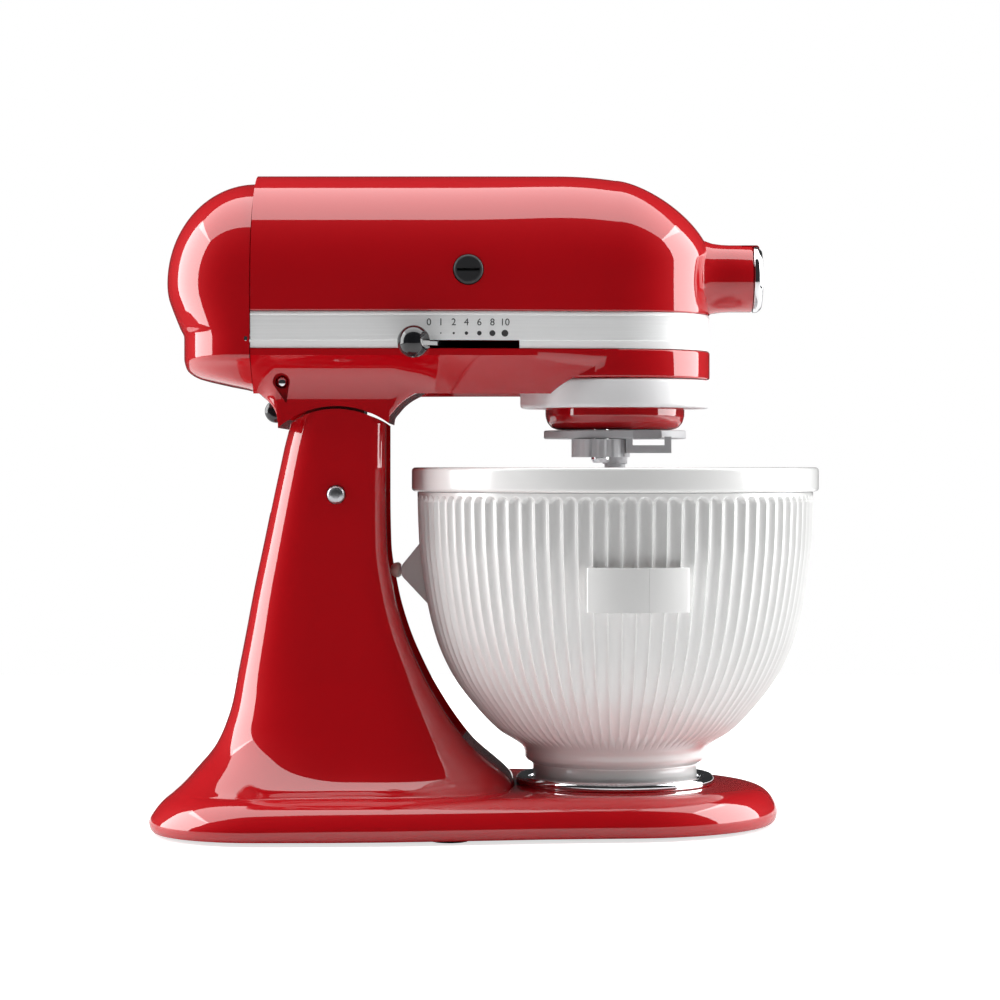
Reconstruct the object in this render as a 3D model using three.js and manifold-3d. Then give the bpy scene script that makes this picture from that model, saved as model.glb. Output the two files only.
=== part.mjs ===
// Ice cream maker: a tilt-head stand mixer that turns a dasher in a frozen bowl.
// Millimetres, +Z up, +X from the column towards the bowl, origin on the ground under the middle.

import * as THREE from 'three';
import { mergeVertices } from 'three/addons/utils/BufferGeometryUtils.js';
import Module from 'manifold-3d';

const wasm = await Module();
wasm.setup();

// ---- Driving dimensions ----

const GAP = 0.3;                       // clearance between neighbouring pieces

const BOWL_X = 69;                     // bowl, planetary and nose share this upright axis
const PIN = { x: -81, z: 180, r: 4.8 };
const SIDE_ROUND = 40;                 // facets round the large turned pieces
const SMALL_ROUND = 16;                // facets round the small turned pieces

const BASE = {
  rear: -180, rearWidth: 107, cornerR: 60, frontR: 88.5, top: 22, wall: 9, cavityTop: 14,
};
const COLUMN = { topR: 45.7, slotHalf: 24, lugHalf: 20, lugR: 22, recessHalf: 31, recessDepth: 7 };

const HEAD = {
  rear: -125.6, half: 59, noseR: 51.7, taperX: -20, crown: 353.4, crownEnd: 38, crownDrop: 2.3,
  axleZ: 294, noseAxleZ: 310, wall: 4, bandTop: 277.1, bandBottom: 257.6, bandThick: 1.2,
};
const BELLY = { creaseZ: 253.8, edgeHalf: 38, edgeZ: 238, bottom: 235 };
const NECK = { half: 45, arcR: 47.2 };
const COVER = { x: -126, end: -174.9, rise: 55 };
const HUB = { z: 297.6, r: 18.3, bore: 12.7, face: 143.7, capX: 148.9 };
const RING = { r: 51.7, bottom: 226.5, top: 242 };
const KNOB = { x: -39, y: -72, z: 260.4, r: 8.6 };
const LEVER_PIVOT = { x: -7.25, z: 259.8 };
const BRUSH = { x: -10.5, z: 299, capR: 7.9 };
const CORD_EXIT = { y: 30, z: 258 };
const LOCK = { x: -110, z: 240, r: 3.2 };

const MODULE = 2;                      // tooth size of the spur gears
const RING_TEETH = 40;
const PINION_TEETH = 14;
const TRAIN_MODULE = 3;                // tooth size of the centre gear and its pinion
const GEAR_TEETH = 24;
const WHEEL_PINION_TEETH = 7;
const WORM_R = 6;
const BEATER_ANGLE = 250.7;            // where the beater shaft stands round the bowl's axis, degrees
const BEATER = polar((RING_TEETH - PINION_TEETH) * MODULE / 2, BEATER_ANGLE);
const WHEEL_DISTANCE = (GEAR_TEETH + WHEEL_PINION_TEETH) * TRAIN_MODULE / 2;
const WHEEL = { x: -39, y: Math.sqrt(WHEEL_DISTANCE ** 2 - 39 ** 2) };

const BOWL_RIM = { r: 111, bottom: 181.5, top: 194.5 };
const BOWL_OUTER = [
  [44.7, 24.6], [44.7, 33], [49.2, 36.5], [49.6, 41], [64.2, 52], [76.6, 65], [88.4, 81],
  [97.3, 100.4], [102.4, 119.8], [105.3, 138], [107.1, 154.8], [107.9, 181.2],
];
const LOOP = {
  bottom: 120.5, top: 143.4, outerR: 119, thick: 3.2, rootR: 103.5, halfAngle: 12.8, openAngle: 11.2,
};

// ---- Colours and finishes ----

const FINISH = {
  paint: { color: 0xb00014, roughness: 0.22, metalness: 0.1 },
  chrome: { color: 0xd9dadc, roughness: 0.12, metalness: 1 },
  steel: { color: 0x9ea1a5, roughness: 0.35, metalness: 1 },
  aluminium: { color: 0xc9cacc, roughness: 0.38, metalness: 1 },
  white: { color: 0xe9e8e4, roughness: 0.42, metalness: 0 },
  grey: { color: 0x8d8f92, roughness: 0.5, metalness: 0 },
  black: { color: 0x1b1b1d, roughness: 0.3, metalness: 0 },
  rubber: { color: 0x2a2a2b, roughness: 0.85, metalness: 0 },
  copper: { color: 0xb1673a, roughness: 0.4, metalness: 1 },
  brass: { color: 0xb99852, roughness: 0.35, metalness: 1 },
  carbon: { color: 0x2b2b2e, roughness: 0.7, metalness: 0.2 },
  gel: { color: 0xb9cdd8, roughness: 0.5, metalness: 0 },
  board: { color: 0x5d4a2c, roughness: 0.6, metalness: 0 },
};

// ---- Geometry helpers ----

function polar(radius, degrees) {
  const angle = THREE.MathUtils.degToRad(degrees);
  return { x: radius * Math.cos(angle), y: radius * Math.sin(angle) };
}

// Position-only indexed geometry, with shared vertices merged and empty triangles left out.
function welded(geometry) {
  const plain = geometry.clone();
  plain.deleteAttribute('normal');
  plain.deleteAttribute('uv');
  const merged = mergeVertices(plain, 1e-4);
  const index = Array.from(merged.index.array);
  const kept = [];
  for (let i = 0; i < index.length; i += 3) {
    const [a, b, c] = index.slice(i, i + 3);
    if (a !== b && b !== c && c !== a) kept.push(a, b, c);
  }
  merged.setIndex(enclosed(merged.attributes.position, kept) < 0 ? kept.reverse() : kept);
  return merged;
}

// Six times the volume inside a closed mesh, negative when its faces point inwards.
function enclosed(position, index) {
  const [a, b, c] = [new THREE.Vector3(), new THREE.Vector3(), new THREE.Vector3()];
  let total = 0;
  for (let i = 0; i < index.length; i += 3) {
    a.fromBufferAttribute(position, index[i]);
    b.fromBufferAttribute(position, index[i + 1]);
    c.fromBufferAttribute(position, index[i + 2]);
    total += a.dot(b.cross(c));
  }
  return total;
}

function toSolid(geometry) {
  const merged = welded(geometry);
  return new wasm.Manifold(new wasm.Mesh({
    numProp: 3,
    vertProperties: new Float32Array(merged.attributes.position.array),
    triVerts: new Uint32Array(merged.index.array),
  }));
}

function toGeometry(solid) {
  const mesh = solid.getMesh();
  const geometry = new THREE.BufferGeometry();
  geometry.setAttribute('position', new THREE.BufferAttribute(mesh.vertProperties, 3));
  geometry.setIndex(new THREE.BufferAttribute(mesh.triVerts, 1));
  return geometry;
}

// Skin over closed rings of equal length; an end ring that has folded to a line needs no cap.
function loft(rings, { capEnd = true } = {}) {
  const count = rings[0].length;
  const vertices = rings.flat();
  const index = [];
  for (let r = 0; r + 1 < rings.length; r++) {
    for (let i = 0; i < count; i++) {
      const a = r * count + i;
      const b = r * count + (i + 1) % count;
      index.push(a, b, b + count, a, b + count, a + count);
    }
  }
  addCap(vertices, index, 0, count, true);
  if (capEnd) addCap(vertices, index, (rings.length - 1) * count, count, false);
  return new THREE.BufferGeometry().setFromPoints(vertices).setIndex(index);
}

function addCap(vertices, index, first, count, reversed) {
  const centre = new THREE.Vector3();
  for (let i = 0; i < count; i++) centre.add(vertices[first + i]);
  vertices.push(centre.divideScalar(count));
  const middle = vertices.length - 1;
  for (let i = 0; i < count; i++) {
    const a = first + i;
    const b = first + (i + 1) % count;
    if (reversed) index.push(middle, b, a);
    else index.push(middle, a, b);
  }
}

// A ring of [x, y] points lifted to one height.
function atHeight(points, z) {
  return points.map(([x, y]) => new THREE.Vector3(x, y, z));
}

// Turned about the upright axis at (x, y); the profile is [radius, z] and is closed to the axis.
function turned(profile, { x = BOWL_X, y = 0, round = SMALL_ROUND } = {}) {
  const points = profile.map(([r, z]) => new THREE.Vector2(r, z));
  const geometry = new THREE.LatheGeometry(points, round);
  geometry.rotateX(Math.PI / 2);
  return toSolid(geometry).translate([x, y, 0]);
}

// Turned about an axis along X; the profile is [radius, x].
function turnedAlongX(profile, { y = 0, z = 0, round = SMALL_ROUND } = {}) {
  return turned(profile, { x: 0, y: 0, round }).rotate([0, 90, 0]).translate([0, y, z]);
}

// Turned about an axis along Y; the profile is [radius, y].
function turnedAlongY(profile, { x = 0, z = 0, round = SMALL_ROUND } = {}) {
  return turned(profile, { x: 0, y: 0, round }).rotate([-90, 0, 0]).translate([x, 0, z]);
}

function rod(radius, from, to) {
  return [[0, from], [radius, from], [radius, to], [0, to]];
}

function tube(outer, inner, from, to) {
  return [[inner, from], [outer, from], [outer, to], [inner, to], [inner, from]];
}

function block([x0, y0, z0], [x1, y1, z1]) {
  const box = new THREE.BoxGeometry(x1 - x0, y1 - y0, z1 - z0);
  box.translate((x0 + x1) / 2, (y0 + y1) / 2, (z0 + z1) / 2);
  return toSolid(box);
}

// Plan outline of [x, y] points raised from one height to another.
function raised(points, from, to) {
  const shape = new THREE.Shape(points.map(([x, y]) => new THREE.Vector2(x, y)));
  const geometry = new THREE.ExtrudeGeometry(shape, { depth: to - from, bevelEnabled: false });
  geometry.translate(0, 0, from);
  return toSolid(geometry);
}

// Side outline of [x, z] points carried from -halfWidth to +halfWidth.
function acrossY(points, halfWidth) {
  const shape = new THREE.Shape(points.map(([x, z]) => new THREE.Vector2(x, z)));
  const geometry = new THREE.ExtrudeGeometry(shape, { depth: 2 * halfWidth, bevelEnabled: false });
  geometry.rotateX(Math.PI / 2);
  geometry.translate(0, halfWidth, 0);
  return toSolid(geometry);
}

// Points of an arc in degrees, as [x, y].
function arc(cx, cy, radius, from, to, steps) {
  const points = [];
  for (let i = 0; i <= steps; i++) {
    const p = polar(radius, from + (to - from) * i / steps);
    points.push([cx + p.x, cy + p.y]);
  }
  return points;
}

// Straight-line reading of a table of [key, value] rows.
function readTable(rows, key) {
  if (key <= rows[0][0]) return rows[0][1];
  for (let i = 1; i < rows.length; i++) {
    if (key <= rows[i][0]) {
      const share = (key - rows[i - 1][0]) / (rows[i][0] - rows[i - 1][0]);
      return THREE.MathUtils.lerp(rows[i - 1][1], rows[i][1], share);
    }
  }
  return rows[rows.length - 1][1];
}

const object = new THREE.Group();

function add(name, solid, finish) {
  const mesh = new THREE.Mesh(toGeometry(solid), new THREE.MeshStandardMaterial(FINISH[finish]));
  mesh.name = name;
  object.add(mesh);
}

// ---- Pedestal: column and base in one casting ----

// Plan of the base, rounded at the rear corners and round at the front; inset shrinks it evenly.
function basePlan(inset) {
  const half = BASE.rearWidth - inset;
  const corner = BASE.cornerR - inset;
  const front = BASE.frontR - inset;
  const side = arc(BASE.rear + BASE.cornerR, BASE.rearWidth - BASE.cornerR, corner, 90, 180, 6);
  const nose = arc(BOWL_X, 0, front, -80, 80, 14);
  const waist = [[-82, half - 0.5], [-25, half - 6.5], [30, half - 15.5]];
  const upper = [...nose, ...waist.slice().reverse(), ...side];
  const lower = [...side.slice().reverse(), ...waist].map(([x, y]) => [x, -y]);
  return [...upper, ...lower];
}

function basePlate() {
  const edge = [[2, 1.6], [5, 0.3], [7.5, 0], [12.5, 1.6], [17.5, 5], [20.5, 9.5], [22, 17]];
  return toSolid(loft(edge.map(([z, inset]) => atHeight(basePlan(inset), z))));
}

// Heights with the rear edge, front edge and half-width of the column there.
const COLUMN_LEVELS = [
  [8, -178.5, 13, 100], [12.6, -176, 13.5, 99], [17.5, -172, 14, 95], [22.4, -168, 14, 90],
  [25, -165.5, 14, 84], [29, -161.5, 11, 79], [34.5, -156, 4, 73], [40, -151, -3, 68],
  [45, -147.5, -8.5, 64], [56, -142.5, -17.5, 58.5], [67, -139, -25, 54.5], [82.6, -136, -34, 51.5],
  [105.6, -131.5, -44, 49], [127, -127.5, -50, 47.5], [153, -122, -54, 46.5], [179.5, -116.5, -54.5, 46],
  [202.6, -111.5, -54.5, 45.5], [230, -106, -54.5, 45],
];

// Rounded rectangle between two X values; the corner power rises from round to square.
function columnRing([z, rear, front, half]) {
  const centre = (rear + front) / 2;
  const reach = (front - rear) / 2;
  const power = z > 45 ? 4.2 : 3;
  const ring = [];
  const steps = 28;
  for (let i = 0; i < steps; i++) {
    const a = 2 * Math.PI * i / steps;
    const x = Math.sign(Math.cos(a)) * Math.abs(Math.cos(a)) ** (2 / power);
    const y = Math.sign(Math.sin(a)) * Math.abs(Math.sin(a)) ** (2 / power);
    ring.push(new THREE.Vector3(centre + reach * x, half * y, z));
  }
  return ring;
}

// Sector of a disc about the hinge pin, seen from the side.
function hingeSector(radius, from, to, steps) {
  return [[PIN.x, PIN.z], ...arc(PIN.x, PIN.z, radius, from, to, steps)];
}

function pedestal() {
  const column = toSolid(loft(COLUMN_LEVELS.map(columnRing)));
  const crown = acrossY([
    [PIN.x - 60, 100], [PIN.x + 60, 100], [PIN.x + 60, PIN.z],
    ...arc(PIN.x, PIN.z, COLUMN.topR, 0, 180, 24), [PIN.x - 60, PIN.z],
  ], 60);
  const foot = block([-190, -120, 0], [170, 120, 120]);
  const recess = acrossY([
    ...COLUMN_LEVELS.slice(8).map(([z, , front]) => [front - COLUMN.recessDepth, z]),
    [40, 240], [40, 45],
  ], COLUMN.recessHalf);
  const slot = acrossY([
    [PIN.x - 3, PIN.z - 25], ...arc(PIN.x, PIN.z, 25, -90, 60, 12).slice(1),
    [PIN.x + 33, PIN.z + 57], [PIN.x - 70, PIN.z + 57], [PIN.x - 70, PIN.z - 10],
    ...arc(PIN.x, PIN.z, 25, 204, 262, 6),
  ], COLUMN.slotHalf);
  const pinHole = turnedAlongY(rod(PIN.r + GAP, -70, 70), PIN);
  const shaft = acrossY([[-118, 150], [-70, 150], [-45, 14], [-134, 14]], 34);
  const cavity = raised(basePlan(BASE.wall), 0, BASE.cavityTop);
  let solid = column.intersect(crown.add(foot)).add(basePlate());
  solid = solid.subtract(recess).subtract(slot).subtract(pinHole);
  solid = solid.subtract(shaft).subtract(cavity);
  for (const spot of FOOT_SPOTS) {
    solid = solid.add(turned(rod(14, 5, 16), { ...spot, round: 12 }));
    solid = solid.subtract(turned(rod(12, 0, 8), { ...spot, round: 12 }));
  }
  for (const spot of PLATE_SCREWS) solid = solid.subtract(turned(rod(2.5, 12, 30), spot));
  return solid;
}

const FOOT_SPOTS = [
  { x: -152, y: -68 }, { x: -152, y: 68 }, { x: -20, y: -80 }, { x: -20, y: 80 }, { x: 136, y: 0 },
];
const PLATE_SCREWS = [30, 150, 270].map((angle) => {
  const spot = polar(33, angle);
  return { x: BOWL_X + spot.x, y: spot.y };
});

function rubberFoot(spot) {
  return turned([[0, 0], [9.5, 0], [11.5, 1.2], [11.5, 7.7], [0, 7.7]], { ...spot, round: 12 });
}

function clampPlate() {
  let plate = turned([
    [0, BASE.top + GAP], [54, BASE.top + GAP], [54, 25.6], [52.4, 27.2], [48.6, 27.2], [47.4, 26],
    [47.4, 24], [0, 24],
  ], { round: SIDE_ROUND });
  for (const spot of PLATE_SCREWS) plate = plate.subtract(turned(rod(2.5, 20, 30), spot));
  return plate;
}

function plateScrew(spot) {
  return turned([[0, 13], [2.1, 13], [2.1, 24.2], [0, 24.2]], spot);
}

function hingePin() {
  const end = 47.6;
  const dome = [[3.2, end + 1.4], [0, end + 2]];
  const base = [[0, -end - 2], [3.2, -end - 1.4]];
  return turnedAlongY([...base, [PIN.r, -end], [PIN.r, end], ...dome], PIN);
}

add('pedestal', pedestal(), 'paint');
FOOT_SPOTS.forEach((spot, i) => add(`foot_${i + 1}`, rubberFoot(spot), 'rubber'));
add('clamp_plate', clampPlate(), 'chrome');
PLATE_SCREWS.forEach((spot, i) => add(`plate_screw_${i + 1}`, plateScrew(spot), 'steel'));
add('hinge_pin', hingePin(), 'steel');

// ---- Head: outer shells ----

// Height of the top line of the head at one X: level up to crownEnd, then falling towards the nose.
function crownZ(x) {
  const share = Math.max(0, (x - HEAD.crownEnd) / (BOWL_X - HEAD.crownEnd));
  return HEAD.crown - HEAD.crownDrop * share ** 2;
}

function headHalf(x) {
  const share = THREE.MathUtils.smoothstep(x, HEAD.taperX, BOWL_X);
  return THREE.MathUtils.lerp(HEAD.half, HEAD.noseR, share);
}

// Stations round the head from the rear on the -Y side, about the nose, to the rear on the +Y side.
// Each has the upright line (cx) that it leans towards and its point on the widest outline.
function headStations(inset, rear = HEAD.rear) {
  const side = [rear, -70, HEAD.taperX, 12, 42].map((x) => {
    const half = headHalf(x) - inset;
    return { cx: x, x, y: -half, crown: crownZ(x) - inset, axle: HEAD.axleZ, power: 2 };
  });
  const nose = [];
  const steps = 14;
  for (let i = 0; i <= steps; i++) {
    const front = Math.cos(Math.PI * (i / steps - 0.5));
    const p = polar(HEAD.noseR - inset, 180 * (i / steps - 0.5));
    const axle = THREE.MathUtils.lerp(HEAD.axleZ + 5, HEAD.noseAxleZ, front);
    const power = THREE.MathUtils.lerp(1.9, 1.5, front);
    nose.push({ cx: BOWL_X, x: BOWL_X + p.x, y: p.y, crown: crownZ(BOWL_X) - inset, axle, power });
  }
  const mirrored = side.slice().reverse().map((s) => ({ ...s, y: -s.y }));
  return [...side, ...nose, ...mirrored];
}

// The dome above the band; at a turn of 90 degrees the ring has folded to the top line.
function domeRing(stations, degrees) {
  const angle = THREE.MathUtils.degToRad(degrees);
  return stations.map(({ cx, x, y, crown, axle, power }) => {
    const out = degrees === 90 ? 0 : Math.cos(angle) ** (2 / power);
    const up = Math.sin(angle) ** (2 / power);
    return new THREE.Vector3(cx + (x - cx) * out, y * out, axle + (crown - axle) * up);
  });
}

function headPlan(inset, rear = HEAD.rear) {
  return headStations(inset, rear).map(({ x, y }) => [x, y]);
}

const DOME_TURNS = [0, 20, 38, 54, 68, 80, 90];

function dome(levels, inset, rear) {
  const stations = headStations(inset, rear);
  const walls = levels.map(([z, extra]) => atHeight(headPlan(inset + extra, rear), z));
  const rings = [...walls, ...DOME_TURNS.map((turn) => domeRing(stations, turn))];
  return toSolid(loft(rings, { capEnd: false }));
}

const SLOT = { from: -31, to: 16.5, top: 261.8 };

function leverSlot() {
  return block([SLOT.from, -70, 240], [SLOT.to, -50, SLOT.top]);
}

// Hinge of the hub cap, in a notch at the top of its rim.
const CAP_HINGE = { x: 145.9, z: 313.9, pinR: 0.8, earR: 1.6, lugR: 1.7, lugHalf: 4, earMiddle: 5.4 };

function hubEars() {
  const { x, z, earR, earMiddle } = CAP_HINGE;
  const ears = [-1, 1].map((side) => {
    const y = side * earMiddle;
    const bar = block([138, y - 1, z - earR], [x, y + 1, z + earR]);
    return bar.add(turnedAlongY(rod(earR, y - 1, y + 1), { x, z }));
  });
  return ears[0].add(ears[1]);
}

function capHingeHole() {
  return turnedAlongY(rod(CAP_HINGE.pinR + GAP, -10, 10), CAP_HINGE);
}

function motorHousing() {
  const under = HEAD.bandThick + GAP;
  const outer = dome([[HEAD.bandBottom, under], [HEAD.bandTop + GAP, under], [HEAD.bandTop + GAP, 0]], 0);
  const hollow = dome([[HEAD.bandBottom - 10, 0.5]], HEAD.wall, HEAD.rear - 10);
  const hub = turnedAlongX([[0, 100], [HUB.r, 100], [HUB.r, HUB.face - 1], [HUB.r - 1, HUB.face],
    [0, HUB.face]], { z: HUB.z, round: 36 });
  let solid = outer.add(hub).add(hubEars()).subtract(hollow);
  solid = solid.subtract(capHingeHole());
  solid = solid.subtract(turnedAlongX(rod(HUB.bore, 90, 160), { z: HUB.z, round: 36 }));
  solid = solid.subtract(turnedAlongY(rod(BRUSH.capR + GAP, -70, 70), BRUSH));
  solid = solid.subtract(turnedAlongY(rod(3 + GAP, 10, 30), { x: 132, z: HUB.z }));
  return solid.subtract(leverSlot());
}

function trimBand() {
  const path = [...headPlan(0), ...headPlan(HEAD.bandThick).reverse()];
  return raised(path, HEAD.bandBottom, HEAD.bandTop).subtract(leverSlot());
}

// Section of the belly at one X, from the band's +Y edge down, under the head and up to its -Y edge.
function bellyRing(x, half, inset) {
  const edge = BELLY.edgeHalf - inset;
  const right = [
    [half - inset, HEAD.bandBottom - GAP], [half - inset, BELLY.creaseZ],
    [(half - inset + edge) / 2 + 1.5, (BELLY.creaseZ + BELLY.edgeZ) / 2 + inset / 2 - 1],
    [edge, BELLY.edgeZ + inset], [20, BELLY.bottom + 0.7 + inset], [0, BELLY.bottom + inset],
  ];
  const left = right.slice(0, -1).reverse().map(([y, z]) => [-y, z]);
  return [...right, ...left].map(([y, z]) => new THREE.Vector3(x, y, z));
}

function belly(inset, rear) {
  return toSolid(loft([rear, -70, HEAD.taperX, 12, 42, BOWL_X].map((x) => bellyRing(x, headHalf(x), inset))));
}

function neck() {
  const block = acrossY([
    [-112, 190], [-53, 190], [-53, 220], [-46.7, 227], [-39, 231], [-30, 234], [-24, 240],
    [-122, 240], [-124, 232.5], [-117, 227], [-112, 218],
  ], NECK.half);
  const arcCut = turnedAlongY(rod(NECK.arcR, -60, 60), { ...PIN, round: 60 });
  const slopes = [-1, 1].map((side) => {
    const wedge = acrossY([[0, 214], [0, 245], [12, 245]], 80).rotate([0, 0, side * 90]);
    return wedge.translate([PIN.x, side * (NECK.half + 0.5), 0]);
  });
  const lug = turnedAlongY(rod(COLUMN.lugR, -COLUMN.lugHalf, COLUMN.lugHalf), PIN);
  const web = acrossY([[-92, 180], [-72, 180], [-66, 236], [-102, 236]], COLUMN.lugHalf);
  return block.subtract(arcCut).subtract(slopes[0]).subtract(slopes[1]).add(lug).add(web);
}

function lowerHousing() {
  const nose = turned(rod(HEAD.noseR, RING.top + GAP, HEAD.bandBottom - GAP), { round: SIDE_ROUND });
  const ringRoom = turned(rod(RING.r + GAP, 220, RING.top + GAP), { round: SIDE_ROUND });
  const noseCavity = turned(rod(HEAD.noseR - 6, RING.top + 5, 270), { round: 48 });
  const cavity = belly(5, -118).subtract(turned(rod(RING.r + 4, 200, RING.top + 5), { round: 48 }));
  let solid = belly(0, HEAD.rear).subtract(ringRoom).add(nose).add(neck());
  solid = solid.subtract(cavity).subtract(noseCavity);
  solid = solid.subtract(turned(rod(14 + GAP, 230, 260)));
  solid = solid.subtract(turnedAlongY(rod(PIN.r + GAP, -60, 60), PIN));
  return solid.subtract(turnedAlongY(rod(LOCK.r + GAP, -60, 60), LOCK));
}

// Rear cover: [height, rear reach, half-width] from the bottom edge up to the widest place.
const COVER_SKIRT = [
  [235.6, -127.5, 22], [238, -139, 38], [243.4, -159.5, 46], [248, -164.5, 51.5], [253.5, -165.6, 59],
  [264.5, -165.6, 59], [269.7, -167.8, 59], [275, -170, 59], [280.6, -172.2, 59], [286, -173.8, 59],
];

function coverRing(z, end, half, front) {
  const ring = [];
  const steps = 16;
  for (let i = 0; i <= steps; i++) {
    const a = Math.PI * (i / steps + 0.5);
    const x = Math.abs(Math.cos(a)) ** 0.85;
    const y = Math.sign(Math.sin(a)) * Math.abs(Math.sin(a)) ** 0.85;
    ring.push(new THREE.Vector3(COVER.x + (end - COVER.x) * x, half * y, z));
  }
  ring.push(new THREE.Vector3(front, -half, z), new THREE.Vector3(front, half, z));
  return ring;
}

function coverShape(inset, front) {
  const skirt = COVER_SKIRT.map(([z, end, half]) => [z + (z < 250 ? inset : 0), end + inset, half - inset]);
  const rings = skirt.map(([z, end, half]) => coverRing(z, Math.min(end, COVER.x - 0.5), half, front));
  const reach = COVER.end - COVER.x + inset;
  for (const turn of DOME_TURNS) {
    const a = THREE.MathUtils.degToRad(turn);
    const out = turn === 90 ? 0 : Math.cos(a);
    const z = HEAD.axleZ + (COVER.rise - inset) * Math.sin(a);
    rings.push(coverRing(z, COVER.x + reach * out, (HEAD.half - inset) * out, front));
  }
  return toSolid(loft(rings, { capEnd: false }));
}

function rearCover() {
  const outer = coverShape(0, COVER.x);
  const hollow = coverShape(HEAD.wall, COVER.x + 20);
  let solid = outer.subtract(hollow);
  solid = solid.add(turnedAlongX(tube(6.5, 2.5, -171, -160), { z: HEAD.axleZ }));
  solid = solid.subtract(turnedAlongX(rod(5.2, -180, -171.5), { z: HEAD.axleZ }));
  solid = solid.subtract(turnedAlongX(rod(2.5, -180, -150), { z: HEAD.axleZ }));
  return solid.subtract(turnedAlongX(rod(6.4 + GAP, -180, -140), CORD_EXIT));
}

function dripRing() {
  return turned([
    [47, RING.bottom], [49.5, RING.bottom], [51.2, RING.bottom + 1.6], [RING.r, RING.bottom + 4],
    [RING.r, RING.top], [47, RING.top], [47, RING.bottom],
  ], { round: SIDE_ROUND });
}

add('motor_housing', motorHousing(), 'paint');
add('trim_band', trimBand(), 'aluminium');
add('lower_housing', lowerHousing(), 'paint');
add('rear_cover', rearCover(), 'paint');
add('drip_ring', dripRing(), 'aluminium');

// ---- Head: motor and gear train ----

// Outline of a spur gear whose first tooth points along the phase angle.
function gearOutline(teeth, root, tip, phase, { x = 0, y = 0 } = {}) {
  const pitch = 360 / teeth;
  const points = [];
  for (let i = 0; i < teeth; i++) {
    for (const [radius, share] of [[root, -0.24], [tip, -0.15], [tip, 0.15], [root, 0.24]]) {
      const p = polar(radius, phase + pitch * (i + share));
      points.push([x + p.x, y + p.y]);
    }
  }
  return points;
}

const TOOTH_UP = 0.4;
const TOOTH_DOWN = 1.2;

function spurGear(teeth, size, phase, centre, from, to) {
  const pitchR = teeth * size / 2;
  return raised(gearOutline(teeth, pitchR - TOOTH_DOWN, pitchR + TOOTH_UP, phase, centre), from, to);
}

const TRAIN = { low: 272, high: 280, crownTop: 284 };
const BEATER_SPOT = { x: BOWL_X + BEATER.x, y: BEATER.y };
const WHEEL_SPOT = { x: BOWL_X + WHEEL.x, y: WHEEL.y };
const WHEEL_ANGLE = THREE.MathUtils.radToDeg(Math.atan2(WHEEL.y, WHEEL.x));

function ringGear() {
  const pitchR = RING_TEETH * MODULE / 2;
  const phase = BEATER_ANGLE + 180 / RING_TEETH;
  const teeth = gearOutline(RING_TEETH, pitchR + TOOTH_DOWN, pitchR - TOOTH_UP, phase, { x: BOWL_X });
  return turned(rod(46.4, 231.3, 241.6), { round: 48 }).subtract(raised(teeth, 225, 250));
}

function planetPinion() {
  const pinion = spurGear(PINION_TEETH, MODULE, BEATER_ANGLE, BEATER_SPOT, 231.6, 240.6);
  return pinion.subtract(turned(rod(5 + GAP, 225, 250), BEATER_SPOT));
}

function beaterShaft() {
  return turned([[0, 197], [4, 197], [5, 198.5], [5, 241], [0, 241]], BEATER_SPOT);
}

function centreShaft() {
  return turned(rod(6.2, 220.5, 290));
}

function centreGear() {
  const spur = spurGear(GEAR_TEETH, TRAIN_MODULE, WHEEL_ANGLE, { x: BOWL_X }, TRAIN.low, TRAIN.high);
  const crown = raised(gearOutline(24, 29.5, 32, 0, { x: BOWL_X }), TRAIN.high - 1, TRAIN.crownTop);
  const dish = turned(rod(24, TRAIN.high, 300));
  return spur.add(crown).subtract(dish).subtract(turned(rod(6.2 + GAP, 260, 300)));
}

function wormWheel() {
  const pinionPhase = WHEEL_ANGLE + 180 + 180 / WHEEL_PINION_TEETH;
  const disc = raised(gearOutline(20, 16.4, 18, 0, WHEEL_SPOT), 295, 303);
  const pinion = spurGear(WHEEL_PINION_TEETH, TRAIN_MODULE, pinionPhase, WHEEL_SPOT, TRAIN.low, TRAIN.high);
  return disc.add(pinion).add(turned(rod(3, 264, 309), WHEEL_SPOT));
}

function armature() {
  const worm = [];
  for (let x = 15; x < 46; x += 6) worm.push([4.4, x], [WORM_R, x + 2], [WORM_R, x + 4]);
  return turnedAlongX([
    [0, -152], [4, -152], [4, -114], [36, -114], [36, -107], [8, -107], [8, -97], [24.7, -97],
    [24.7, -44], [8, -44], [5, -22], [12, -22], [12, -2], [4, -2], [4, 13], ...worm, [4, 50], [0, 50],
  ], { z: BRUSH.z });
}

function hubDrive() {
  const gear = raised(gearOutline(9, 11, 13.1, 0), 94, 101).rotate([0, 90, 0]).translate([0, 0, HUB.z]);
  const body = turnedAlongX([[0, 95], [7, 95], [7, 112], [11.5, 112], [11.5, 139], [0, 139]], { z: HUB.z });
  return gear.add(body).subtract(block([124, -4.8, HUB.z - 4.8], [145, 4.8, HUB.z + 4.8]));
}

function hubCap() {
  const disc = turnedAlongX([[0, 144], [18.5, 144], [18.5, 146.6], [16, HUB.capX], [0, HUB.capX]],
    { z: HUB.z, round: 36 });
  const { x, z, lugR, lugHalf } = CAP_HINGE;
  const barrel = turnedAlongY(rod(lugR, -lugHalf, lugHalf), { x, z });
  const lug = block([144, -lugHalf, 304], [147.4, lugHalf, z]).add(barrel);
  return disc.subtract(block([140, -8, 311.5], [150, 8, 320])).add(lug).subtract(capHingeHole());
}

function hubKnob() {
  const flutes = gearOutline(12, 11, 12.2, 0).map(([x, z]) => [x + 132, z + HUB.z]);
  const stem = turnedAlongY(rod(3, 13.2, 24), { x: 132, z: HUB.z });
  return acrossY(flutes, 7).translate([0, 28.5, 0]).add(stem);
}

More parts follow.
